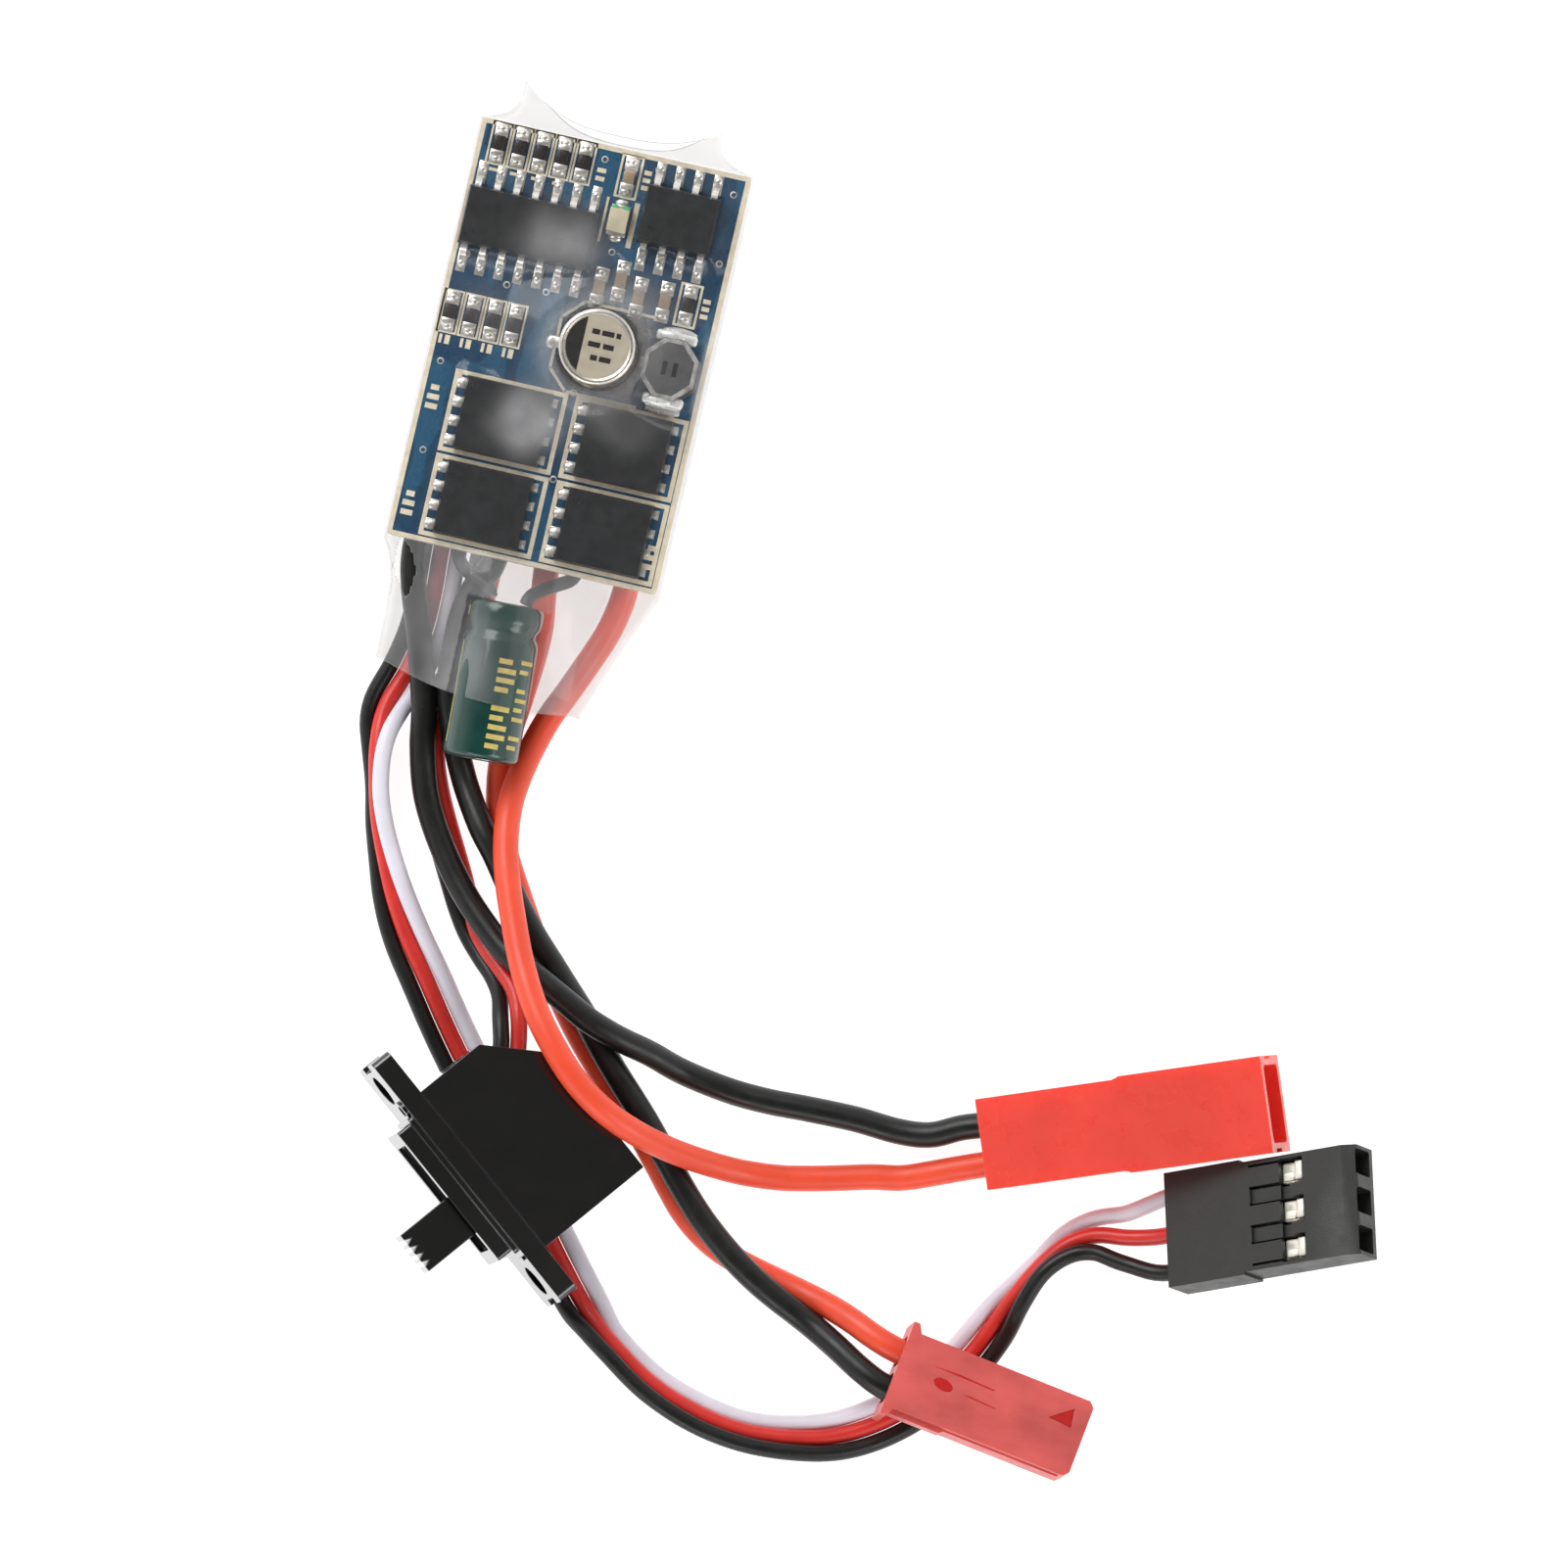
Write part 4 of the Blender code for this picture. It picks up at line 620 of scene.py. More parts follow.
def wire_path(route, across):
    """A wire's path; in a flat cable it lies `across` spacings to the right of the middle."""
    middle = smooth_route(route, ROUTE_STEP)
    if across is None:
        return middle
    path = []
    for index, point in enumerate(middle):
        before = Vector(middle[max(index - 1, 0)][:3])
        after = Vector(middle[min(index + 1, len(middle) - 1)][:3])
        forward = (after - before).normalized()
        right = forward.cross(Vector((0.0, 0.0, 1.0))).normalized()
        roll = math.radians(point[3])
        aside = (right * math.cos(roll) + right.cross(forward) * math.sin(roll)) * point[4] * across
        path.append(Vector(point[:3]) + aside)
    return path


# ---------------------------------------------------------------- camera, light and floor
def build_studio():
    """A long lens that looks nearly straight down, a sky that darkens upwards, and three lamps."""
    scene = bpy.context.scene
    target = Vector((19.94, -24.08, 4.3)) * MM
    right = Vector((0.9744, 0.2250, -0.033)).normalized()
    up = Vector((-0.225, 0.9744, 0.037))
    up = (up - right * up.dot(right)).normalized()
    back = right.cross(up)
    distance = 0.8498
    lens = bpy.data.cameras.new("camera")
    lens.lens = 300.0
    lens.sensor_width = 36.0
    lens.clip_start = 0.01
    lens.clip_end = 5.0
    scene.camera = link("camera", lens)
    turn = Matrix((right, up, back)).transposed().to_4x4()
    scene.camera.matrix_world = Matrix.Translation(target + back * distance) @ turn
    scene.view_settings.view_transform = "Standard"

    world = bpy.data.worlds.new("studio")
    scene.world = world
    world.use_nodes = True
    split = add_node(world, "SeparateXYZ", Vector=add_node(world, "TexCoord").outputs["Generated"])
    sky = ramp(world, split.outputs["Z"], (0.4, 0.95), (0.93, 0.14))
    fill(world, world.node_tree.nodes["Background"], Color=sky, Strength=1.0)

    lamps = (
        ("key_light", (-0.32, 0.3, 0.42), (0.35, 0.35), 2.1),
        ("fill_light", (0.42, -0.2, 0.36), (0.3, 0.3), 0.9),
        ("front_light", (-0.1, -0.5, 0.3), (0.4, 0.2), 0.7),
    )
    for name, offset, size, power in lamps:
        light = bpy.data.lights.new(name, "AREA")
        light.shape = "RECTANGLE"
        light.size, light.size_y = size
        light.energy = power
        lamp = link(name, light)
        lamp.location = target + Vector(offset)
        lamp.rotation_mode = "QUATERNION"
        lamp.rotation_quaternion = Vector(offset).to_track_quat("Z", "Y")


def build_floor():
    """A pale sweep: flat under the object and rising gently at its rim."""
    reach = 900.0
    middle = Matrix.Translation((20.0, -24.0, 0.0))
    edit = made(add_turned, [(0.0, -0.02), (reach * 0.7, -0.02), (reach * 0.9, 20.0), (reach, 90.0)],
                middle, 96)
    bmesh.ops.recalc_face_normals(edit, faces=edit.faces)
    bmesh.ops.transform(edit, matrix=Matrix.Scale(MM, 4), verts=edit.verts)
    mesh = mesh_of(edit, "floor")
    mesh.shade_smooth()
    mesh.materials.append(PAINT["floor"])
    link("floor", mesh)


# ---------------------------------------------------------------- leads
def round_wire(name, path, radius, paint):
    """A round wire along a path in millimetres."""
    curve = bpy.data.curves.new(name, "CURVE")
    curve.dimensions = "3D"
    curve.bevel_depth = radius * MM
    curve.bevel_resolution = 6
    curve.use_fill_caps = True
    spline = curve.splines.new("POLY")
    spline.points.add(len(path) - 1)
    spline.use_smooth = True
    for point, target in zip(spline.points, path):
        point.co = (*(Vector(target[:3]) * MM), 1.0)
    curve.materials.append(PAINT[paint])
    return link(name, curve)


def build_wires():
    """Each free wire as one smooth curve."""
    for group, colour, route, across, length in WIRES:
        path = wire_path(route, across)
        thickness = POWER_WIRE_DIAMETER if across is None else SIGNAL_WIRE_DIAMETER
        paint = "deep_red" if colour == "red" and across is not None else colour
        lead = round_wire("%s_lead_%s" % (group, colour), path, thickness / 2, paint)
        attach(lead, "controller")
        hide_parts("%s_wire_%s" % (group, colour))


def build_solder_joints():
    """Solder on the board's underside where each wire ends."""
    edit = bmesh.new()
    centre, size = box_of("circuit_board")
    underside = centre.z - size.z / 2
    for group, colour, route, across, length in WIRES:
        place = route[0] if across is None else wire_path(route, across)[0]
        wide = 1.9 if across is None else 1.1
        tall = underside - place[2]
        x, y, z = place[:3]
        add_dome(edit, (x, y + 0.35, underside - tall * 0.35), (wide, 2.4, tall * 1.15))
        add_tube(edit, (x, y - 0.3, z), (x, y + 1.0, z + tall * 0.5), wide * 0.28, 16)
    piece("underside_solder", edit, "tin")


# ---------------------------------------------------------------- connectors
def build_contacts(name, node, profile, place):
    """Two turned contacts, side by side, that lie along X."""
    for number, side in ((1, 1), (2, -1)):
        turn = Matrix.Translation((0.0, side * PITCH / 2, 0.0)) @ LIE_ALONG_X
        piece("%s_%d" % (name, number), made(add_turned, profile, turn, 24), "tin", place,
              stands_for=["%s_%d" % (node, number)])


def build_battery_connector():
    place, size = frame_of("battery_connector_housing", (1.0, 0.4, 0.0))
    length = size[0]
    block, step, wall, half, wide_half, tall = 9.3, 9.6, 0.6, 2.975, 3.15, 5.0
    shell = made(add_prism, mirrored([(0.0, half), (block - 0.1, half), (step + 0.2, wide_half),
                                      (length, wide_half)]), -2.0, 2.5)
    front = made(add_box, ((length + step) / 2 + 0.05, 0.0, 0.0), (length - step + 0.1, 2 * wide_half, tall))
    slope = made(add_box, (step + 0.1, 0.0, 0.0), (0.5, 6.1, 4.5))
    shell = carve(shell, [front, slope], "UNION")
    cuts = [made(add_box, (length, 0.0, 0.0),
                 (2 * (length - block - 1.0), 2 * (wide_half - wall), tall - 2 * wall), 0.35, 3)]
    for side in (-1, 1):
        bore = made(add_box, (4.5, side * PITCH / 2, 0.0), (13.0, 2.1, 2.1), 0.4, 3)
        latch = made(add_box, (5.6, side * PITCH / 2, -2.0), (2.2, 1.3, 1.0), 0.1)
        key = made(add_box, (length, side * wide_half, 0.6), (3.4, 0.5, 1.5), 0.1)
        cuts += [bore, latch, key]
    cuts.append(made(add_turned, [(0.0, 2.46), (0.32, 2.46), (0.36, 2.6), (0.0, 2.6)],
                     Matrix.Translation((15.3, 0.4, 0.0)), 20))
    housing = piece("battery_connector_shell", carve(shell, cuts), "red_plastic", place,
                    stands_for=["battery_connector_housing"], soften=0.12)
    pin = [(0.0, 16.8), (0.2, 16.8), (0.42, 16.45), (0.5, 16.1), (0.5, 8.4), (0.62, 8.3), (0.62, 7.6),
           (0.5, 7.5), (0.5, 6.3), (0.78, 6.1), (0.85, 5.8), (0.85, 3.4), (0.7, 3.2), (0.0, 3.2)]
    build_contacts("battery_contact", "battery_pin", pin, place)
    return housing


def build_motor_connector():
    place, size = frame_of("motor_connector_housing", (1.0, -0.15, -0.1))
    length = size[0]
    shell = made(add_prism, mirrored([(0.0, 2.6), (length - 0.35, 2.6), (length, 2.25)]), -1.8, 1.8)
    flange = made(add_prism, mirrored([(0.0, 3.2), (0.4, 3.2), (0.75, 2.55)]), -1.95, 1.78)
    rib = made(add_prism, [(0.5, -2.4), (0.5, -2.95), (4.1, -2.95), (4.3, -2.75), (4.3, -2.4)], -0.05, 1.25)
    ledge = made(add_prism, [(4.0, -2.4), (4.0, -2.72), (length - 0.6, -2.72), (length - 0.6, -2.4)],
                 0.2, 1.1)
    shell = carve(shell, [flange, rib, ledge], "UNION")
    cuts = [made(add_box, (length / 2, side * PITCH / 2, 0.0), (length + 2.0, 2.05, 2.05), 0.35, 3)
            for side in (-1, 1)]
    oval = Matrix.Rotation(math.radians(-8.0), 4, "Z") @ Matrix.Diagonal((1.45, 0.8, 1.0, 1.0))
    dimple = bmesh.new()
    bmesh.ops.create_uvsphere(dimple, u_segments=32, v_segments=16, radius=0.5,
                              matrix=Matrix.Translation((3.2, 0.03, 1.86)) @ oval
                              @ Matrix.Diagonal((1.0, 1.0, 0.5, 1.0)))
    wedge = made(add_prism, [(10.35, 0.62), (11.95, 0.5), (11.75, 1.75)], 1.7, 2.2)
    window = made(add_box, (8.6, 0.0, -1.8), (1.8, 3.9, 0.8), 0.1)
    housing = piece("motor_connector_shell", carve(shell, [*cuts, dimple, wedge, window]), "pink_plastic",
                    place, stands_for=["motor_connector_housing"], soften=0.1)
    # Dark red fills on the floors of the oval dimple and the triangular recess are painted shade; the thin
    # strips on the top and the small patch by the front end are darker lines and patches.
    marks = made(add_turned, [(0.0, 0.0), (0.46, 0.0), (0.4, -0.14), (0.0, -0.2)],
                 Matrix.Translation((3.2, 0.03, 1.77)) @ oval, 32)
    add_prism(marks, [(10.4, 0.65), (11.9, 0.54), (11.71, 1.68)], 1.7, 1.76)
    add_prism(marks, [(2.0, 0.95), (6.4, 0.86), (6.5, 0.94), (4.0, 1.04)], 1.79, 1.803)
    add_prism(marks, [(4.6, -0.12), (6.9, -0.2), (6.9, -0.14), (5.0, -0.04)], 1.79, 1.803)
    add_prism(marks, [(length - 0.22, -0.5), (length - 0.02, -0.55), (length - 0.02, -0.2),
                      (length - 0.16, -0.2)], 1.7, 1.79)
    piece("motor_connector_marks_and_painted_recess_shade", marks, "dark_red", place)
    mouth = length - 1.0
    socket = [(0.0, 8.0), (0.45, 8.0), (0.45, mouth - 0.2), (0.6, mouth), (0.74, mouth), (0.8, mouth - 0.1),
              (0.8, 6.6), (0.66, 6.4), (0.66, 5.8), (0.8, 5.6), (0.8, 3.4), (0.6, 3.2), (0.0, 3.2)]
    build_contacts("motor_socket", "motor_contact", socket, place)
    return housing


def build_receiver_connector():
    place, (length, width, height) = frame_of("receiver_connector_housing", (0.8, 0.34, 0.47))
    top = height / 2
    shell = made(add_box, (length / 2, 0.0, 0.0), (length, width, height))
    cuts = [made(add_box, (5.6 + length / 2, side * (width / 2 + 0.2), 0.0), (length, 0.75, height * 2))
            for side in (-1, 1)]
    nose = made(add_prism, [(length - 0.9, top), (length + 1.0, top - 1.0), (length + 1.0, top + 1.0),
                            (length - 0.9, top + 1.0)], -width, width)
    bmesh.ops.transform(nose, matrix=UPRIGHT, verts=nose.verts)
    cuts.append(nose)
    for number in (-1, 0, 1):
        across = number * PITCH
        cuts.append(made(add_box, (length / 2, across, 0.0), (length + 2.0, 1.7, 1.7), 0.1, 1))
        cuts.append(made(add_box, (9.35, across, top), (1.75, 1.75, 1.5), 0.05, 1))
        for side in (-1, 1):
            cuts.append(made(add_box, (7.4, across + side * 0.72, top), (2.3, 0.16, 1.4)))
    for number in (-0.5, 0.5):
        cuts.append(made(add_box, (7.4, number * PITCH, top), (2.2, 1.0, 0.5), 0.05, 1))
        cuts.append(made(add_box, (8.85, number * PITCH, top), (0.8, 1.2, 1.1), 0.05, 1))
    housing = piece("receiver_connector_shell", carve(shell, cuts), "matt_plastic", place,
                    stands_for=["receiver_connector_housing"], soften=0.1)
    for number in (-1, 0, 1):
        across = number * PITCH
        contact = bmesh.new()
        add_box(contact, (10.2, across, 0.0), (3.6, 1.4, 1.4), 0.18, 3)
        add_box(contact, (9.05, across - 0.28, 0.72), (0.9, 0.62, 0.5), 0.16, 3)
        add_box(contact, (9.75, across + 0.05, 0.74), (0.6, 1.3, 0.46), 0.14, 3)
        add_box(contact, (5.0, across, -0.15), (4.8, 1.1, 0.9), 0.25, 3)
        add_box(contact, (7.9, across, -0.35), (1.4, 0.8, 0.35), 0.05)
        add_strip(contact, [(8.2, 0.4), (8.8, 0.62), (9.4, 0.7), (9.9, 0.66)], 0.75, 0.14,
                  Matrix(((0, 1, 0, 0), (1, 0, 0, across), (0, 0, 1, 0), (0, 0, 0, 1))))
        piece("receiver_socket_%d" % (number + 2), contact, "contact", place,
              stands_for=["receiver_contact_%d" % (number + 2)])
    return housing


# ---------------------------------------------------------------- switch
SWITCH_FORWARD = (0.78, -0.62, 0.0)


def build_switch_plate():
    """The plate and its marks; Y points out of the back of the plate."""
    place = frame_of("switch_faceplate", SWITCH_FORWARD, (0.5, 1.0, 0.5))[0]
    plate = made(add_prism, rounded_outline(19.7, 6.0, 0.5), 0.0, 1.4)
    collar = made(add_prism, rounded_outline(10.6, 4.6, 0.25), 1.2, 2.8)
    lip = made(add_prism, rounded_outline(11.2, 5.2, 0.3), 1.2, 1.75)
    plate = carve(plate, [collar, lip], "UNION")
    slot = made(add_box, (0.0, 0.0, 1.4), (6.3, 2.7, 6.0), 0.12, 2)
    funnel = made(add_box, (0.0, 0.0, 3.3), (8.6, 3.3, 2.2), 0.2, 2)
    cuts = [slot, funnel]
    for side in (-1, 1):
        cuts.append(made(add_post, side * 7.9, 0.0, -1.0, 3.0, 1.1, 40))
        cuts.append(made(add_box, (side * 9.9, 0.0, 0.7), (1.0, 2.2, 3.0), 0.1))
    plate = carve(plate, cuts)
    bmesh.ops.transform(plate, matrix=UPRIGHT, verts=plate.verts)
    piece("switch_plate", plate, "black_plastic", place,
          stands_for=["switch_faceplate"], soften=0.1)
    marks = made(add_box, (6.15, -1.47, 1.6), (0.3, 0.14, 1.4), 0.03, 1)
    ring = [(0.42, 0.0), (0.7, 0.0), (0.7, 0.14), (0.42, 0.14), (0.42, 0.0)]
    add_turned(marks, ring, Matrix.Translation((-6.15, -1.4, 1.6)) @ UPRIGHT, 32)
    piece("switch_marks", marks, "black_plastic", place, soften=0.02)
    return place


def build_switch_body(place):
    half, depth, gap, corner = 6.45, 8.3, 0.03, 2.4
    back = depth + gap
    body = made(add_prism, [(-half, gap), (half, gap), (half, back), (-half + 2 * corner * HALF_ROOT, back),
                            (-half, back - 2 * corner * HALF_ROOT)], -3.0, 3.0)
    hollow = made(add_box, (0.0, 2.95, 0.0), (11.3, 6.9, 4.4), 0.2)
    lead_slot = made(add_box, (-half + corner * HALF_ROOT, back - corner * HALF_ROOT, 0.0), (3.0, 5.0, 1.7),
                     0.3, 2, 45.0)
    grooves = [made(add_box, (side * half, 3.4, 0.0), (0.3, 1.6, 3.2), 0.05) for side in (-1, 1)]
    return piece("switch_body", carve(body, [hollow, lead_slot, *grooves]), "black_plastic",
                 place, stands_for=["switch_housing"], soften=0.14)


def build_switch_lever():
    place, size = frame_of("switch_lever", SWITCH_FORWARD, (0.5, 0.0, 0.5))
    reach = size[1] - 2.3
    lever = made(add_box, (0.0, (reach + 0.4) / 2, 0.0), (3.0, reach + 0.4, 2.4))
    foot = made(add_box, (0.0, reach + 1.25, 0.0), (6.0, 2.1, 3.6))
    lever = carve(lever, [foot], "UNION")
    grooves = []
    for index in range(4):
        x = (index - 1.5) * 0.6
        grooves.append(made(add_prism, [(x - 0.2, -0.3), (x + 0.2, -0.3), (x + 0.14, 0.1), (x, 0.4),
                                        (x - 0.14, 0.1)], -2.0, 2.0))
    piece("switch_thumb_lever", carve(lever, grooves), "black_plastic", place,
          "switch_slider", stands_for=["switch_lever"], soften=0.07)


def build_switch():
    """The switch; its base, terminals and bridge are carried over from the CAD."""
    housing = build_switch_body(build_switch_plate())
    build_switch_lever()
    repaint("switch_base", "resistor")
    for node in ("contact_bridge", "terminal_1", "terminal_2", "terminal_3"):
        repaint("switch_" + node, "tin")
    return housing


# ---------------------------------------------------------------- board
def build_board():
    """The board's core between two sheets of lacquer; gives the height of its upper face."""
    centre, size = box_of("circuit_board")
    core = made(add_prism, rounded_outline(size.x, size.y, 0.3), centre.z - 0.46, centre.z + 0.46)
    piece("board_core", core, "fibre", stands_for=["circuit_board"], soften=0.04)
    top = centre.z + size.z / 2
    for name, low, high in (("board_top_mask", centre.z + 0.44, top - 0.02),
                            ("board_bottom_mask", centre.z - size.z / 2 + 0.02, centre.z - 0.44)):
        sheet = made(add_prism, rounded_outline(size.x - 0.1, size.y - 0.1, 0.28), low, high)
        piece(name, sheet, "mask", soften=0.03)
    return top


def build_board_print(top):
    """Cream lines and plain marks printed on the board, and its plated holes."""
    low, high = top - 0.04, top + 0.015
    edit = bmesh.new()

    def dash(x, y, wide, deep, thick=0.05, turn=0.0):
        add_box(edit, (x, y, high - 0.02), (wide, deep, thick), turn=turn)

    size = box_of("circuit_board")[1]
    add_frame(edit, (0.0, 0.0), (size.x - 0.04, size.y - 0.04), 0.3, low, high)
    for node in TRANSISTORS:
        place = box_of(node)[0]
        add_frame(edit, place, (7.55, 5.45), 0.3, low, high)
        dash(place.x - 3.5, place.y + 2.35, 0.42, 0.3, 0.06)
    for number, node in enumerate(RESISTORS[:-1]):
        place = box_of(node)[0]
        add_frame(edit, place, (1.36, 2.9), 0.13, low, high)
        if number < TOP_ROW:
            dash(place.x, place.y - 1.75, 0.6, 0.22)
            continue
        dash(place.x - 0.25, place.y - 1.85, 0.2, 0.6)
        dash(place.x + 0.2, place.y - 1.85, 0.34, 0.6)
    for node in ("chip_resistor_10", "chip_capacitor_1"):
        place = box_of(node)[0]
        add_frame(edit, place, (1.5, 2.9), 0.16, low, high)
        for index in range(3):
            dash(place.x + 1.15, place.y + 0.5 - index * 0.5, 0.5, 0.3)
    lamp = box_of("status_led")[0]
    for side, wide in ((-1, 0.16), (1, 0.34)):
        dash(lamp.x + side * 0.98, lamp.y - 0.1, wide, 3.0, 0.06)
    can, size = box_of("board_capacitor_base")
    half = size.x / 2 + 0.35
    cut = 1.3
    line = mirrored([(half, half), (-half + cut, half), (-half, half - cut)])[::-1]
    for first, second in zip(line, line[1:]):
        along = Vector(second) - Vector(first)
        middle = (Vector(first) + Vector(second)) / 2
        dash(can.x + middle.x, can.y + middle.y, along.length + 0.1, 0.2,
             turn=math.degrees(math.atan2(along.y, along.x)))
    for x, y in ((-8.05, -12.3), (-8.05, -5.2), (8.1, -12.3)):
        for index, wide in enumerate((0.8, 0.8, 0.55)):
            dash(x, y + index * 0.62, wide, 0.36)
    for index in range(2):
        dash(-0.65, 11.7 + index * 0.55, 0.6, 0.3)
    piece("board_print", edit, "silk")

    metal = bmesh.new()
    for x, y in ((-8.0, 5.0), (-8.1, -2.2), (-7.9, -8.1), (0.82, -2.3), (0.82, -8.1), (4.6, 2.6), (1.2, 7.2),
                 (8.2, 8.0), (8.1, 12.6), (-0.6, 13.0), (3.0, 13.1), (-5.0, 3.6), (-2.4, 3.7)):
        add_turned(metal, [(0.14, -0.05), (0.24, -0.05), (0.24, 0.012), (0.16, 0.018), (0.14, 0.0),
                           (0.14, -0.05)], Matrix.Translation((x, y, top)), 20)
    piece("board_vias", metal, "tin")


def build_small_chips():
    """Glazed bodies between plated ends, soldered to their pads."""
    for node in RESISTORS + CAPACITORS:
        centre, size = box_of(node)
        body = made(add_box, centre, size - Vector((0.06, 0.5, 0.05)), 0.03)
        piece(node + "_body", body, "resistor" if node in RESISTORS else "ceramic",
              stands_for=[node])
    ends = bmesh.new()
    solder = bmesh.new()
    for node in RESISTORS + CAPACITORS:
        centre, size = box_of(node)
        bottom = centre.z - size.z / 2
        for side in (-1, 1):
            y = centre.y + side * (size.y / 2 - 0.16)
            add_box(ends, (centre.x, y, centre.z), (size.x, 0.34, size.z), 0.05)
            tilt = noise.noise(Vector((centre.x, y, 3.1))) * 0.12
            add_dome(solder, (centre.x + tilt, y + side * 0.34, bottom + 0.02),
                     (size.x * 0.95, 0.62, 0.5 + tilt))
            add_box(solder, (centre.x, y + side * 0.26, bottom - 0.02), (size.x + 0.1, 0.9, 0.06), 0.02)
    piece("chip_end_caps", ends, "tin")
    piece("chip_solder", solder, "tin")


def add_gull_lead(edit, x, y, side, top, bottom, span):
    """One bent lead: out of the body, down, and flat on its pad; side is +1 or -1 along Y."""
    shoulder = bottom + (top - bottom) * 0.5
    line = [(0.0, shoulder), (0.3, shoulder), (0.42, shoulder - 0.08), (0.52, shoulder - 0.3),
            (0.6, bottom + 0.3), (0.68, bottom + 0.13), (0.8, bottom + 0.1), (span, bottom + 0.1)]
    matrix = Matrix(((1, 0, 0, x), (0, side, 0, y), (0, 0, 1, 0), (0, 0, 0, 1)))
    add_strip(edit, line, 0.42, 0.18, matrix)


def build_moulded_body(node, size, levels, dot_y, dot_inset, dot_depth, dot_radius, dot_steps):
    """A chip's body, drawn in by an inset at each height, with a dot sunk near its left side."""
    centre = box_of(node)[0]
    body = made(add_loft, [[(x, y, height) for x, y in rectangle(centre, size, inset)]
                           for height, inset in levels])
    top = levels[-1][0]
    dot = made(add_post, centre.x - size[0] / 2 + dot_inset, centre.y + dot_y * (size[1] / 2 - dot_inset),
               top - dot_depth, top + 0.3, dot_radius, dot_steps)
    piece(node + "_body", carve(body, [dot]), "chip", stands_for=[node], soften=0.05)


def build_chip(node, pins, bottom):
    """A chip with gull-wing leads along both long sides."""
    centre, size = box_of(node)
    top = centre.z + size.z / 2
    low = bottom + 0.15
    middle = (top + low) / 2
    build_moulded_body(node, (size.x, CHIP_DEPTH),
                       ((low, 0.12), (middle - 0.08, 0.0), (middle + 0.08, 0.0), (top, 0.14)),
                       -1, 0.75, 0.06, 0.32, 28)
    leads = bmesh.new()
    solder = bmesh.new()
    for side in (-1, 1):
        y = centre.y + side * (CHIP_DEPTH / 2 - 0.05)
        for index in range(pins):
            x = centre.x + (index - (pins - 1) / 2) * CHIP_PITCH
            add_gull_lead(leads, x, y, side, top, bottom, 1.08)
            add_dome(solder, (x, y + side * 1.22, bottom + 0.02), (0.6, 0.62, 0.42))
            add_box(solder, (x, y + side * 1.05, bottom - 0.02), (0.62, 1.5, 0.05), 0.02)
    piece(node + "_leads", leads, "tin", soften=0.02)
    piece(node + "_solder", solder, "tin")


def build_transistor(node, bottom):
    """A flat power package with four leads on the left and four short ones on the right."""
    centre, size = box_of(node)
    top = centre.z + size.z / 2
    width, depth = 5.75, 4.9
    build_moulded_body(node, (width, depth),
                       ((bottom + 0.03, 0.05), (bottom + 0.35, 0.0), (bottom + 0.5, 0.0), (top, 0.12)),
                       1, 0.7, 0.05, 0.3, 24)
    metal = bmesh.new()
    solder = bmesh.new()
    left, right = centre.x - (width / 2 + 0.12), centre.x + (width / 2 + 0.12)
    rows = [centre.y + (index - 1.5) * CHIP_PITCH for index in range(4)]
    for y in rows:
        add_box(metal, (left, y, bottom + 0.16), (0.62, 0.52, 0.24), 0.04)
        add_dome(solder, (left - 0.3, y, bottom + 0.04), (0.62, 0.66, 0.34))
        add_box(solder, (left - 0.12, y, bottom - 0.02), (0.95, 0.72, 0.05), 0.02)
    for y in rows:
        add_box(metal, (right - 0.14, y, bottom + 0.14), (0.5, 0.44, 0.2), 0.04)
        add_box(solder, (right + 0.02, y, bottom - 0.02), (0.4, 0.6, 0.05), 0.02)
    piece(node + "_tabs", metal, "tin")
    piece(node + "_solder", solder, "tin")


def build_led(bottom):
    centre, size = box_of("status_led")
    base = made(add_box, (centre.x, centre.y, bottom + 0.13), (size.x, size.y, 0.24), 0.02)
    piece("led_base", base, "silk", stands_for=["status_led"])
    lens = made(add_prism, rounded_outline(size.x * 1.04, size.y * 0.8, 0.08, centre), bottom + 0.22,
                centre.z + size.z / 2)
    piece("led_lens", lens, "led", soften=0.07)
    ends = bmesh.new()
    green = bmesh.new()
    for side in (-1, 1):
        y = centre.y + side * (size.y / 2 - 0.14)
        add_box(ends, (centre.x, y, bottom + 0.14), (size.x * 0.98, 0.32, 0.3), 0.04)
        add_dome(ends, (centre.x, y + side * 0.3, bottom), (size.x * 0.8, 0.6, 0.46))
        add_box(green, (centre.x + side * 0.36, centre.y + 0.86, centre.z + 0.2), (0.4, 0.22, 0.44), 0.03)
    piece("led_ends", ends, "tin")
    piece("led_marks", green, "led_green")


def arc(centre, radius, start, sweep, steps):
    """Points along an arc, with its angles in degrees."""
    angles = [math.radians(start + sweep * step / steps) for step in range(steps + 1)]
    return [(centre[0] + radius * math.cos(angle), centre[1] + radius * math.sin(angle)) for angle in angles]


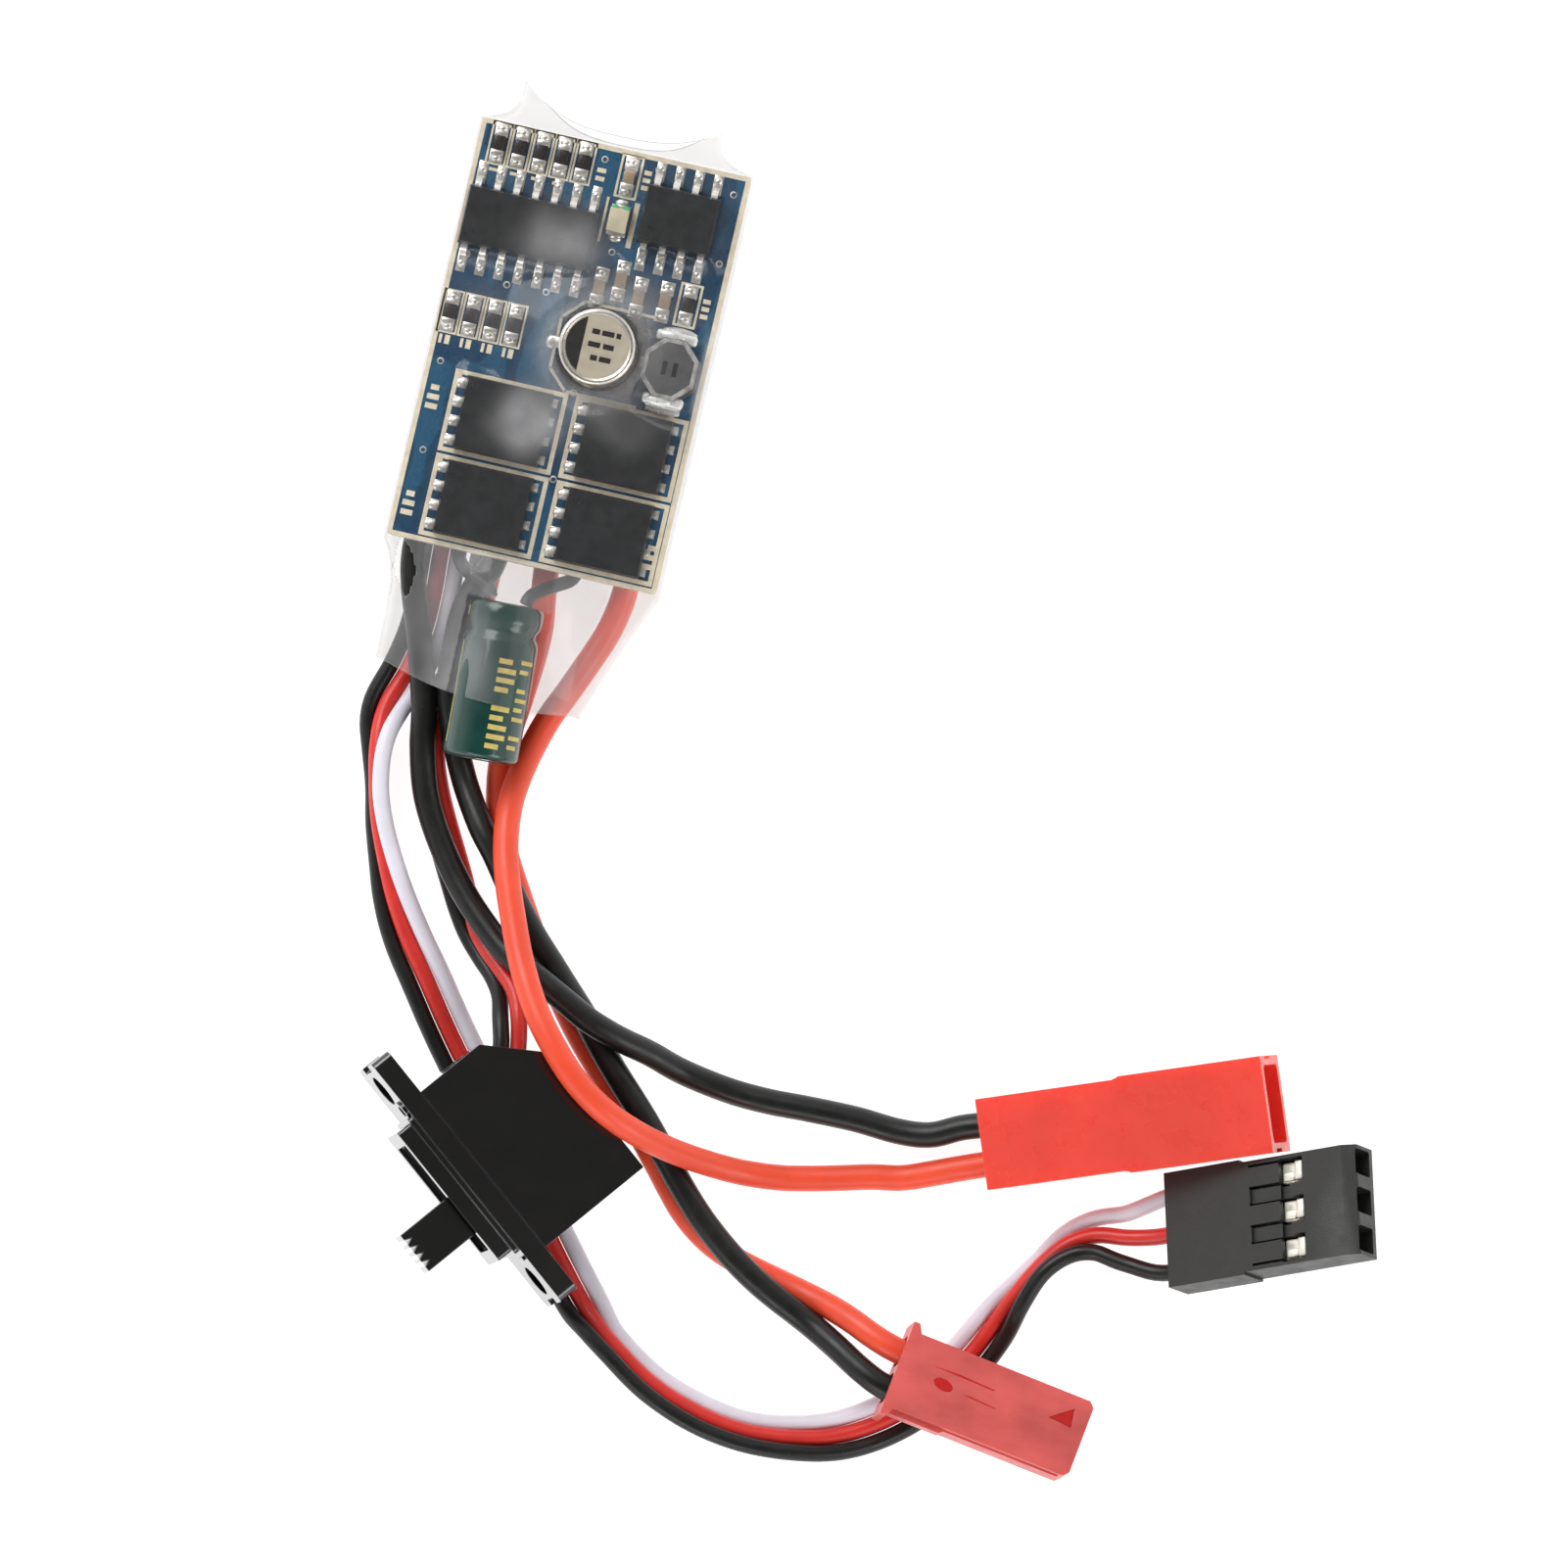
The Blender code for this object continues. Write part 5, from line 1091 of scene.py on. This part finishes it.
def build_can_base(bottom):
    """The moulded base of the board's capacitor, with two cut corners, and its feet."""
    centre, size = box_of("board_capacitor_base")
    half = size.x / 2
    cut = 1.1
    outline = [(centre.x + x, centre.y + y)
               for x, y in ((half, -half), (half, half), (-half + cut, half), (-half, half - cut),
                            (-half, -half + cut), (-half + cut, -half))]
    base = made(add_prism, outline, bottom + 0.04, bottom + 0.55)
    base = carve(base, [made(add_prism, outline, bottom + 0.5, bottom + 1.0)], "UNION")
    cuts = [made(add_post, centre.x, centre.y, bottom + 0.72, bottom + 2.0, 2.54, 48)]
    feet = bmesh.new()
    for side in (-1, 1):
        cuts.append(made(add_box, (centre.x + side * half, centre.y, bottom + 0.1), (1.6, 0.9, 0.34), 0.04))
        add_box(feet, (centre.x + side * (half - 0.1), centre.y, bottom + 0.1), (1.5, 0.7, 0.16), 0.03)
        add_dome(feet, (centre.x + side * (half + 0.62), centre.y, bottom + 0.02), (0.8, 1.0, 0.4))
    piece("can_base", carve(base, cuts), "black_plastic",
          stands_for=["board_capacitor_base"], soften=0.06)
    piece("can_feet", feet, "tin")


def build_can():
    """The board capacitor's can, its printed top and plain dashes in place of words."""
    can, size = box_of("board_capacitor_can")
    radius, top, low = size.x / 2, can.z + size.z / 2, can.z - size.z / 2
    matrix = Matrix.Translation((can.x, can.y, 0.0))
    line = [(0.0, top - 0.07), (radius - 0.42, top - 0.07), (radius - 0.36, top - 0.05), (radius - 0.28, top)]
    line += arc((radius - 0.24, top - 0.24), 0.24, 90.0, -90.0, 6)
    line += [(radius, low + 1.5), (radius - 0.16, low + 1.25), (radius - 0.16, low + 1.05),
             (radius, low + 0.8), (radius, low + 0.12), (radius - 0.1, low), (0.0, low)]
    piece("can_shell", made(add_turned, line, matrix, 72), "aluminium",
          stands_for=["board_capacitor_can"])
    face = made(add_turned, [(0.0, top - 0.05), (radius - 0.42, top - 0.05), (radius - 0.42, top - 0.1),
                             (0.0, top - 0.1)], matrix, 72)
    piece("can_top_face", face, "print_face")
    ink = made(add_prism, arc(can, 0.46 - radius, -62.0, 124.0, 20)[::-1], top - 0.06, top - 0.03)
    for x, y, wide in ((-0.35, 0.95, 0.5), (0.45, 0.95, 0.8), (1.15, 0.95, 0.3), (-0.3, 0.1, 0.8),
                       (0.65, 0.1, 0.7), (-0.15, -0.75, 0.45), (0.6, -0.75, 0.75)):
        add_box(ink, (can.x + x + 0.1, can.y + y, top - 0.04), (wide, 0.34, 0.04), 0.01, 1)
    piece("can_print", ink, "black_ink")


def build_inductor(bottom):
    centre, size = box_of("inductor")
    top = centre.z + size.z / 2

    def octagon(inset):
        """The core's outline with cut corners, drawn in by the inset."""
        x, y, cut = size.x / 2 - inset - 0.1, size.y / 2 - inset - 0.55, 1.1 - inset * 0.4
        return [(centre.x + px, centre.y + py)
                for px, py in ((x, -y + cut), (x, y - cut), (x - cut, y), (-x + cut, y), (-x, y - cut),
                               (-x, -y + cut), (-x + cut, -y), (x - cut, -y))]

    core = made(add_prism, octagon(0.0), top - 0.75, top)
    stem = made(add_post, centre.x, centre.y, bottom + 0.3, top - 0.5, 1.1, 32)
    foot = made(add_prism, octagon(0.0), bottom + 0.03, bottom + 0.7)
    piece("inductor_core", carve(core, [stem, foot], "UNION"), "ferrite",
          stands_for=["inductor"], soften=0.09)
    coil = bmesh.new()
    turns = 7
    for index in range(turns):
        height = bottom + 0.85 + index * (top - 1.7 - bottom) / (turns - 1)
        ring = arc((1.5, height), 0.11, 0.0, 360.0, 10)[:-1]
        add_turned(coil, ring + ring[:1], Matrix.Translation((centre.x, centre.y, 0.0)), 40)
    piece("inductor_winding", coil, "copper")
    ends = bmesh.new()
    for side in (-1, 1):
        y = centre.y + side * (size.y / 2 - 0.45)
        add_box(ends, (centre.x, y, top - 0.5), (2.7, 0.7, 0.7), 0.2, 3)
        add_box(ends, (centre.x, y + side * 0.1, bottom + 0.9), (2.3, 0.62, 1.8), 0.12, 3)
        add_dome(ends, (centre.x - 0.3, y + side * 0.05, top - 0.25), (1.9, 0.8, 0.5))
        add_dome(ends, (centre.x, y + side * 0.5, bottom + 0.05), (2.4, 0.7, 0.5))
    # Painted highlight: the inductor's ends take the glare finish, a pale grey that stands in for their
    # glare.
    piece("inductor_ends", ends, "glare")
    # The rim is painted highlight: a light grey ring laid on the core's top edge.
    rim = bmesh.new()
    outer, inner = octagon(0.04), octagon(0.3)
    for corners in zip(outer, outer[1:] + outer[:1], inner[1:] + inner[:1], inner):
        add_prism(rim, corners, top - 0.02, top + 0.012)
    piece("inductor_rim", rim, "ferrite_edge")
    mark = bmesh.new()
    for x in (-0.35, 0.35):
        add_box(mark, (centre.x + x, centre.y, top + 0.005), (0.3, 0.9, 0.02))
    piece("inductor_mark", mark, "chip")


# ---------------------------------------------------------------- bulk capacitor
def add_patch(edit, radius, first, last, low, high, thick=0.02):
    """A printed patch on a round can, between two angles in degrees and two heights."""
    steps = max(2, round(abs(last - first) / 5.0))
    section = ((radius, low), (radius, high), (radius + thick, high), (radius + thick, low))
    outlines = []
    for step in range(steps + 1):
        angle = math.radians(first + (last - first) * step / steps)
        outlines.append([(reach * math.cos(angle), reach * math.sin(angle), height)
                         for reach, height in section])
    add_loft(edit, outlines)


def build_bulk_capacitor():
    """Local Z runs along the can towards the board, and 90 degrees is its top."""
    flat, size = frame_of("bulk_capacitor_can", (0.0, -1.0, 0.0))
    axis = -flat.col[0].to_3d()
    left = Vector((0.0, 0.0, 1.0)).cross(axis).normalized()
    upward = axis.cross(left)
    length = box_of("bulk_capacitor_wrap")[1].y + 0.02
    start = flat @ Vector((size[0] * MM, 0.0, 0.0)) - axis * 0.05 * MM
    place = Matrix.Translation(start) @ Matrix((left, upward, axis)).transposed().to_4x4()
    radius = 2.5

    outer = [(radius - 0.55, 0.0)] + arc((radius - 0.4, 0.4), 0.4, -90.0, 90.0, 6)
    outer += [(radius, length - 2.7), (radius - 0.05, length - 2.45), (radius - 0.27, length - 2.1),
              (radius - 0.27, length - 1.85), (radius - 0.05, length - 1.45), (radius, length - 1.2),
              (radius, length - 0.45), (radius - 0.12, length - 0.2), (radius - 0.4, length - 0.1)]
    inner = [(r - 0.09, h) for r, h in reversed(outer[1:])]
    inner[-1] = (radius - 0.55, 0.1)
    wrap = made(add_turned, outer + inner + outer[:1], HERE, 72)
    piece("capacitor_wrap", wrap, "green", place, stands_for=["bulk_capacitor_wrap"])

    rim = radius - 0.13
    line = [(0.0, 0.06), (radius - 0.6, 0.06), (rim - 0.25, 0.12), (rim, 0.45), (rim, length - 2.7),
            (rim - 0.27, length - 2.1), (rim - 0.27, length - 1.85), (rim, length - 1.3), (rim, length - 0.5),
            (rim - 0.15, length - 0.22), (2.12, length - 0.2), (2.1, length - 0.7), (0.0, length - 0.75)]
    vents = [made(add_box, (0.0, 0.0, 0.0), (3.0, 0.14, 0.2), 0.0, 2, turn) for turn in (0.0, 90.0)]
    shell = carve(made(add_turned, line, HERE, 72), vents)
    piece("capacitor_can", shell, "aluminium", place, stands_for=["bulk_capacitor_can"])

    line = [(0.0, length - 0.12), (1.6, length - 0.12), (1.75, length - 0.2), (2.05, length - 0.2),
            (2.09, length - 0.3), (2.09, length - 0.68), (0.0, length - 0.68)]
    seal = made(add_turned, line, HERE, 64)
    piece("capacitor_seal", seal, "rubber", place, stands_for=["bulk_capacitor_seal"])

    ink = bmesh.new()
    skin = radius + 0.004
    add_patch(ink, skin, 24.0, 26.5, 0.8, length - 2.9)
    add_patch(ink, skin, 24.0, 26.5, length - 1.2, length - 0.6)
    dash, gap = 0.34, 0.62
    count = int((length - 3.9) / gap)
    for index in range(count):
        low = 0.75 + index * gap
        if index != count // 2:
            add_patch(ink, skin, 97.0, 126.0 if index % 3 else 118.0, low, low + dash)
        if index not in (2, count - 3):
            add_patch(ink, skin, 133.0, 160.0 if index % 2 else 152.0, low + 0.15, low + 0.15 + dash * 0.8)
    piece("capacitor_print", ink, "gold", place)

    for number, points in enumerate(BULK_LEADS):
        lead = round_wire("capacitor_lead_%d" % (number + 1), smooth_route(points, 0.3), 0.45, "black")
        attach(lead, "controller")
        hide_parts("bulk_capacitor_lead_%d" % (number + 1))


# ---------------------------------------------------------------- film
FILM_WALL = 0.1
FLOOR_LAYER = 0.16  # height of the film's lower layer
BOARD_FACE = 4.3  # height of the board's upper face, and below it the board's ends along Y
BOARD_END = 13.95
MOUTH_START = -15.2  # where the rows of the board's part of the film give way to the mouth's
# A slit in the film beside the black battery wire.
GAP_FROM = Vector((-7.9, -13.8))
GAP_TO = Vector((-6.75, -17.75))
GAP_HALF_WIDTH = 0.7
# Where the film stands off and looks milky: centre, reach along X and Y, and strength.
MILKY_SPOTS = ((-1.7, 7.0, 2.4, 2.0, 0.36), (-1.5, -4.8, 2.0, 2.1, 0.45), (4.8, -3.9, 2.6, 1.4, 0.1),
               (-5.2, 2.0, 3.2, 2.4, 0.08), (4.0, 4.6, 3.0, 1.8, 0.13), (-1.3, -21.4, 1.5, 2.8, 0.2))


def smooth_max(first, second, soft):
    return max(first, second) + max(soft - abs(first - second), 0.0) ** 2 / (4.0 * soft)


def film_supports():
    """The tall pieces under the film: centre, half sizes, top, and how far the film takes to come down."""
    supports = []
    for node in ("controller_chip", "driver_chip"):
        centre, size = box_of(node)
        supports.append((centre.x, centre.y, size.x / 2, CHIP_DEPTH / 2, centre.z + size.z / 2, 1.1))
    for node in TRANSISTORS:
        centre, size = box_of(node)
        supports.append((centre.x, centre.y, 2.88, 2.45, centre.z + size.z / 2, 0.9))
    centre, size = box_of("inductor")
    supports.append((centre.x, centre.y, size.x / 2 - 0.3, size.y / 2 - 0.7, centre.z + size.z / 2, 1.5))
    return supports


def film_sides(y):
    """Left and right walls of the sleeve, which draw in beyond each end of the board."""
    left, right = -9.1, 9.1
    if y > BOARD_END:
        drawn = 1.0 - math.exp(-(y - BOARD_END) / 0.55)
        return left + 2.3 * drawn, right - 2.7 * drawn
    past = max(-14.2 - y, 0.0)
    return left + 1.1 * (1.0 - math.exp(-past / 1.4)), right - 3.35 * min(past / 8.6, 1.0) ** 0.9


def film_end(share, lower_layer):
    """Where the cut end by the board's far edge lies along Y; share is -1 at the left, 1 at the right."""
    rise = 2.2 if share < 0.0 else 1.7
    middle = 14.35 if lower_layer else 14.65
    return middle + (rise + 14.65 - middle) * abs(share) ** 2.5


def film_mouth(share):
    """Where the open end that the wires leave by lies along Y."""
    return -23.3 - 0.5 * share + share ** 2


def film_row(way, share, lower_layer):
    """The place along Y of a row of vertices at a share of the width; way runs from 0 at the mouth to 1."""
    top_end, mouth = film_end(share, lower_layer), film_mouth(share)
    mouth_rows, end_rows = 0.2, 0.09
    if way > 1.0 - end_rows:
        return BOARD_END + (top_end - BOARD_END) * (way - 1.0 + end_rows) / end_rows
    if way < mouth_rows:
        return mouth + (MOUTH_START - mouth) * way / mouth_rows
    return MOUTH_START + (BOARD_END - MOUTH_START) * (way - mouth_rows) / (1.0 - end_rows - mouth_rows)


def film_floor(y):
    """The height of the film's lower layer, which comes up at the far end."""
    return FLOOR_LAYER + 2.6 * max(min((y - BOARD_END + 0.5) / 2.4, 1.0), 0.0) ** 1.5


def film_side_height(y):
    """The height of the sleeve's side walls."""
    drop = 0.0
    if y < -BOARD_END:
        drop = 2.3 * min((-BOARD_END - y) / 5.0, 1.0)
    if y > BOARD_END:
        drop = 0.9 * min((y - BOARD_END) / 1.6, 1.0)
    return 4.45 - drop


def film_milk(x, y, below, gap, can):
    """How milky the film looks over a point, where it stands off by the gap from what is below."""
    veil = 0.012
    if abs(y) > BOARD_END:
        most = 0.13 + 0.12 * min(max((-15.5 - y) / 6.0, 0.0), 1.0) if below else 0.2
        veil = 0.05 + most * (1.0 - math.exp(-gap / 0.5))
    for spot_x, spot_y, reach_x, reach_y, strength in MILKY_SPOTS:
        away = ((x - spot_x) / reach_x) ** 2 + ((y - spot_y) / reach_y) ** 2
        away = max(away + 0.6 * noise.noise(Vector((x * 0.5, y * 0.5, spot_x))), 0.0)
        veil += strength * math.exp(-away ** 1.2)
    around = max(math.hypot(x - can[0], y - can[1]) - can[2], 0.0)
    return veil + 0.36 * (1.0 - math.exp(-(around / 0.35) ** 2)) * math.exp(-(around / 1.5) ** 2)


def film_level(x, y, supports, can, bulk):
    """Height of the stretched film over a point."""
    base = BOARD_FACE + 0.5
    if y < -BOARD_END:
        base -= 1.9 * min((-BOARD_END - y) / 8.0, 1.0)
    if y > BOARD_END - 0.4:
        base -= 0.9 * min((y - BOARD_END + 0.4) / 2.2, 1.0)
    level = base
    for centre_x, centre_y, half_x, half_y, top, reach in supports:
        away = math.hypot(max(abs(x - centre_x) - half_x, 0.0), max(abs(y - centre_y) - half_y, 0.0))
        tent = base + (top + 0.07 - base) * math.exp(-(max(away - 0.05, 0.0) / reach) ** 1.3)
        level = smooth_max(level, tent, 0.12)
    away = max(math.hypot(x - can[0], y - can[1]) - can[2], 0.0)
    share = 0.6 * math.exp(-(away / 0.6) ** 1.6) + 0.4 * math.exp(-(away / 3.3) ** 1.4)
    tent = base + (can[3] + 0.08 - base) * share
    level = smooth_max(level, tent, 0.2)
    ridge = max(abs(x - bulk[0] + (y - bulk[1]) * 0.05) - 0.7, 0.0)
    along = max(abs(y - bulk[1]) - bulk[2], 0.0)
    tent = base + (bulk[3] + 0.06 - base) * math.exp(-(math.hypot(ridge * 0.95, along) / 2.6) ** 1.4)
    return smooth_max(level, tent, 0.25)


def thing_below(x, y, solids, wires):
    """Height of what lies under the film at a point, for how milky it looks there."""
    height = 0.0
    if abs(x) < 9.0 and abs(y) < BOARD_END:
        height = BOARD_FACE
    for low_x, low_y, high_x, high_y, top in solids:
        if low_x <= x <= high_x and low_y <= y <= high_y:
            height = max(height, top)
    if y < -13.5:
        for path, radius in wires:
            for point in path:
                near = math.hypot(x - point[0], y - point[1])
                if near < radius:
                    height = max(height, point[2] + math.sqrt(radius ** 2 - near ** 2))
    return height


def build_film():
    """The sleeve, ring by ring from its mouth; the vertices' "milk" says how milky it looks."""
    supports = film_supports()
    can_centre, can_size = box_of("board_capacitor_can")
    can = (can_centre.x, can_centre.y, can_size.x / 2, can_centre.z + can_size.z / 2)
    bulk_centre, bulk_size = box_of("bulk_capacitor_wrap")
    bulk = (bulk_centre.x, bulk_centre.y, bulk_size.y / 2, bulk_centre.z + bulk_size.z / 2)
    solids = []
    for node in RESISTORS + CAPACITORS + TRANSISTORS + [
            "controller_chip", "driver_chip", "board_capacitor_can", "inductor", "status_led",
            "bulk_capacitor_wrap"]:
        centre, size = box_of(node)
        depth = CHIP_DEPTH / 2 if node in ("controller_chip", "driver_chip") else size.y / 2
        solids.append((centre.x - size.x / 2, centre.y - depth, centre.x + size.x / 2, centre.y + depth,
                       centre.z + size.z / 2))
    wires = [([point for point in smooth_route(route, 0.5) if point[1] > -26.0], 0.85)
             for route in (BATTERY_BLACK_ROUTE, BATTERY_RED_ROUTE, MOTOR_BLACK_ROUTE, MOTOR_RED_ROUTE)]

    rows = 200
    floor_points, wall_points, top_points = 26, 7, 130
    edit = bmesh.new()
    milk = edit.verts.layers.float.new("milk")
    rings = []
    for row in range(rows + 1):
        way = row / rows
        ring = []

        def add_vertex(x, y, z, veil):
            vertex = edit.verts.new((x, y, z))
            vertex[milk] = veil
            ring.append(vertex)

        for index in range(floor_points):
            share = -1.0 + 2.0 * index / (floor_points - 1)
            y = film_row(way, share, True)
            left, right = film_sides(y)
            x = (left + 0.5) + (right - left - 1.0) * (share + 1.0) / 2.0
            add_vertex(x, y, film_floor(y), 0.14)
        for side in (1, -1):
            y = film_row(way, float(side), False)
            left, right = film_sides(y)
            wall = right if side > 0 else left
            low, top = film_floor(y), film_side_height(y)
            heights = [low + (top - low) * (0.04 + 0.96 * step / (wall_points - 1))
                       for step in range(wall_points)]
            if side < 0:
                heights.reverse()
            waver = 0.06 * noise.noise(Vector((side * 3.0, y * 0.5, 0.0)))
            for height in heights:
                tuck = 0.2 * math.exp(-(height - low) / 0.25)
                add_vertex(wall - side * (tuck + abs(waver)), y, height, 0.06)
            for index in range(1, top_points) if side > 0 else ():
                share = 1.0 - 2.0 * index / top_points
                y = film_row(way, share, False)
                left, right = film_sides(y)
                x = left + (right - left) * (share + 1.0) / 2.0
                near = min(x - left, right - x)
                limit = film_side_height(y) + 5.0 * near ** 0.9
                level = film_level(x, y, supports, can, bulk)
                level = -smooth_max(-level, -limit, 0.25)
                below = thing_below(x, y, solids, wires)
                gap = max(level - below - 0.1, 0.0)
                loose = min(gap / 0.8, 1.0)
                level += loose * 0.07 * noise.noise(Vector((x * 0.7, y * 0.5, 1.7)))
                add_vertex(x, y, level, film_milk(x, y, below, gap, can))
        rings.append(ring)
    count = len(rings[0])
    gap_line = GAP_TO - GAP_FROM
    for lower, upper in zip(rings, rings[1:]):
        for index in range(count):
            after = (index + 1) % count
            corners = (lower[index], lower[after], upper[after], upper[index])
            middle = sum((corner.co for corner in corners), Vector()) / 4
            offset = Vector(middle[:2]) - GAP_FROM
            along = offset.dot(gap_line) / gap_line.length_squared
            aside = abs(offset.x * gap_line.y - offset.y * gap_line.x) / gap_line.length
            opened = 0.0 < along < 1.0 and aside < GAP_HALF_WIDTH * math.sin(math.pi * along)
            if opened and middle.z > 1.5:
                continue
            edit.faces.new(corners)
    film = piece("heat_shrink_film", edit, "film", stands_for=["sleeve"], angle=60.0)
    film.data.materials.append(PAINT["film_inside"])
    film.data.materials.append(PAINT["film_edge"])
    shell = film.modifiers.new("wall", "SOLIDIFY")
    shell.thickness = FILM_WALL * MM
    shell.offset = 1.0
    shell.material_offset = 1
    shell.material_offset_rim = 2


# ---------------------------------------------------------------- the whole scene
build_studio()
build_floor()
ENDS = {
    "battery": build_battery_connector(),
    "motor": build_motor_connector(),
    "receiver": build_receiver_connector(),
    "switch": build_switch(),
}
build_wires()
build_solder_joints()
BOARD_TOP = build_board()
build_board_print(BOARD_TOP)
build_chip("controller_chip", 7, BOARD_TOP)
build_chip("driver_chip", 4, BOARD_TOP)
for transistor in TRANSISTORS:
    build_transistor(transistor, BOARD_TOP)
build_small_chips()
build_led(BOARD_TOP)
build_can_base(BOARD_TOP)
build_can()
build_inductor(BOARD_TOP)
build_bulk_capacitor()
build_film()
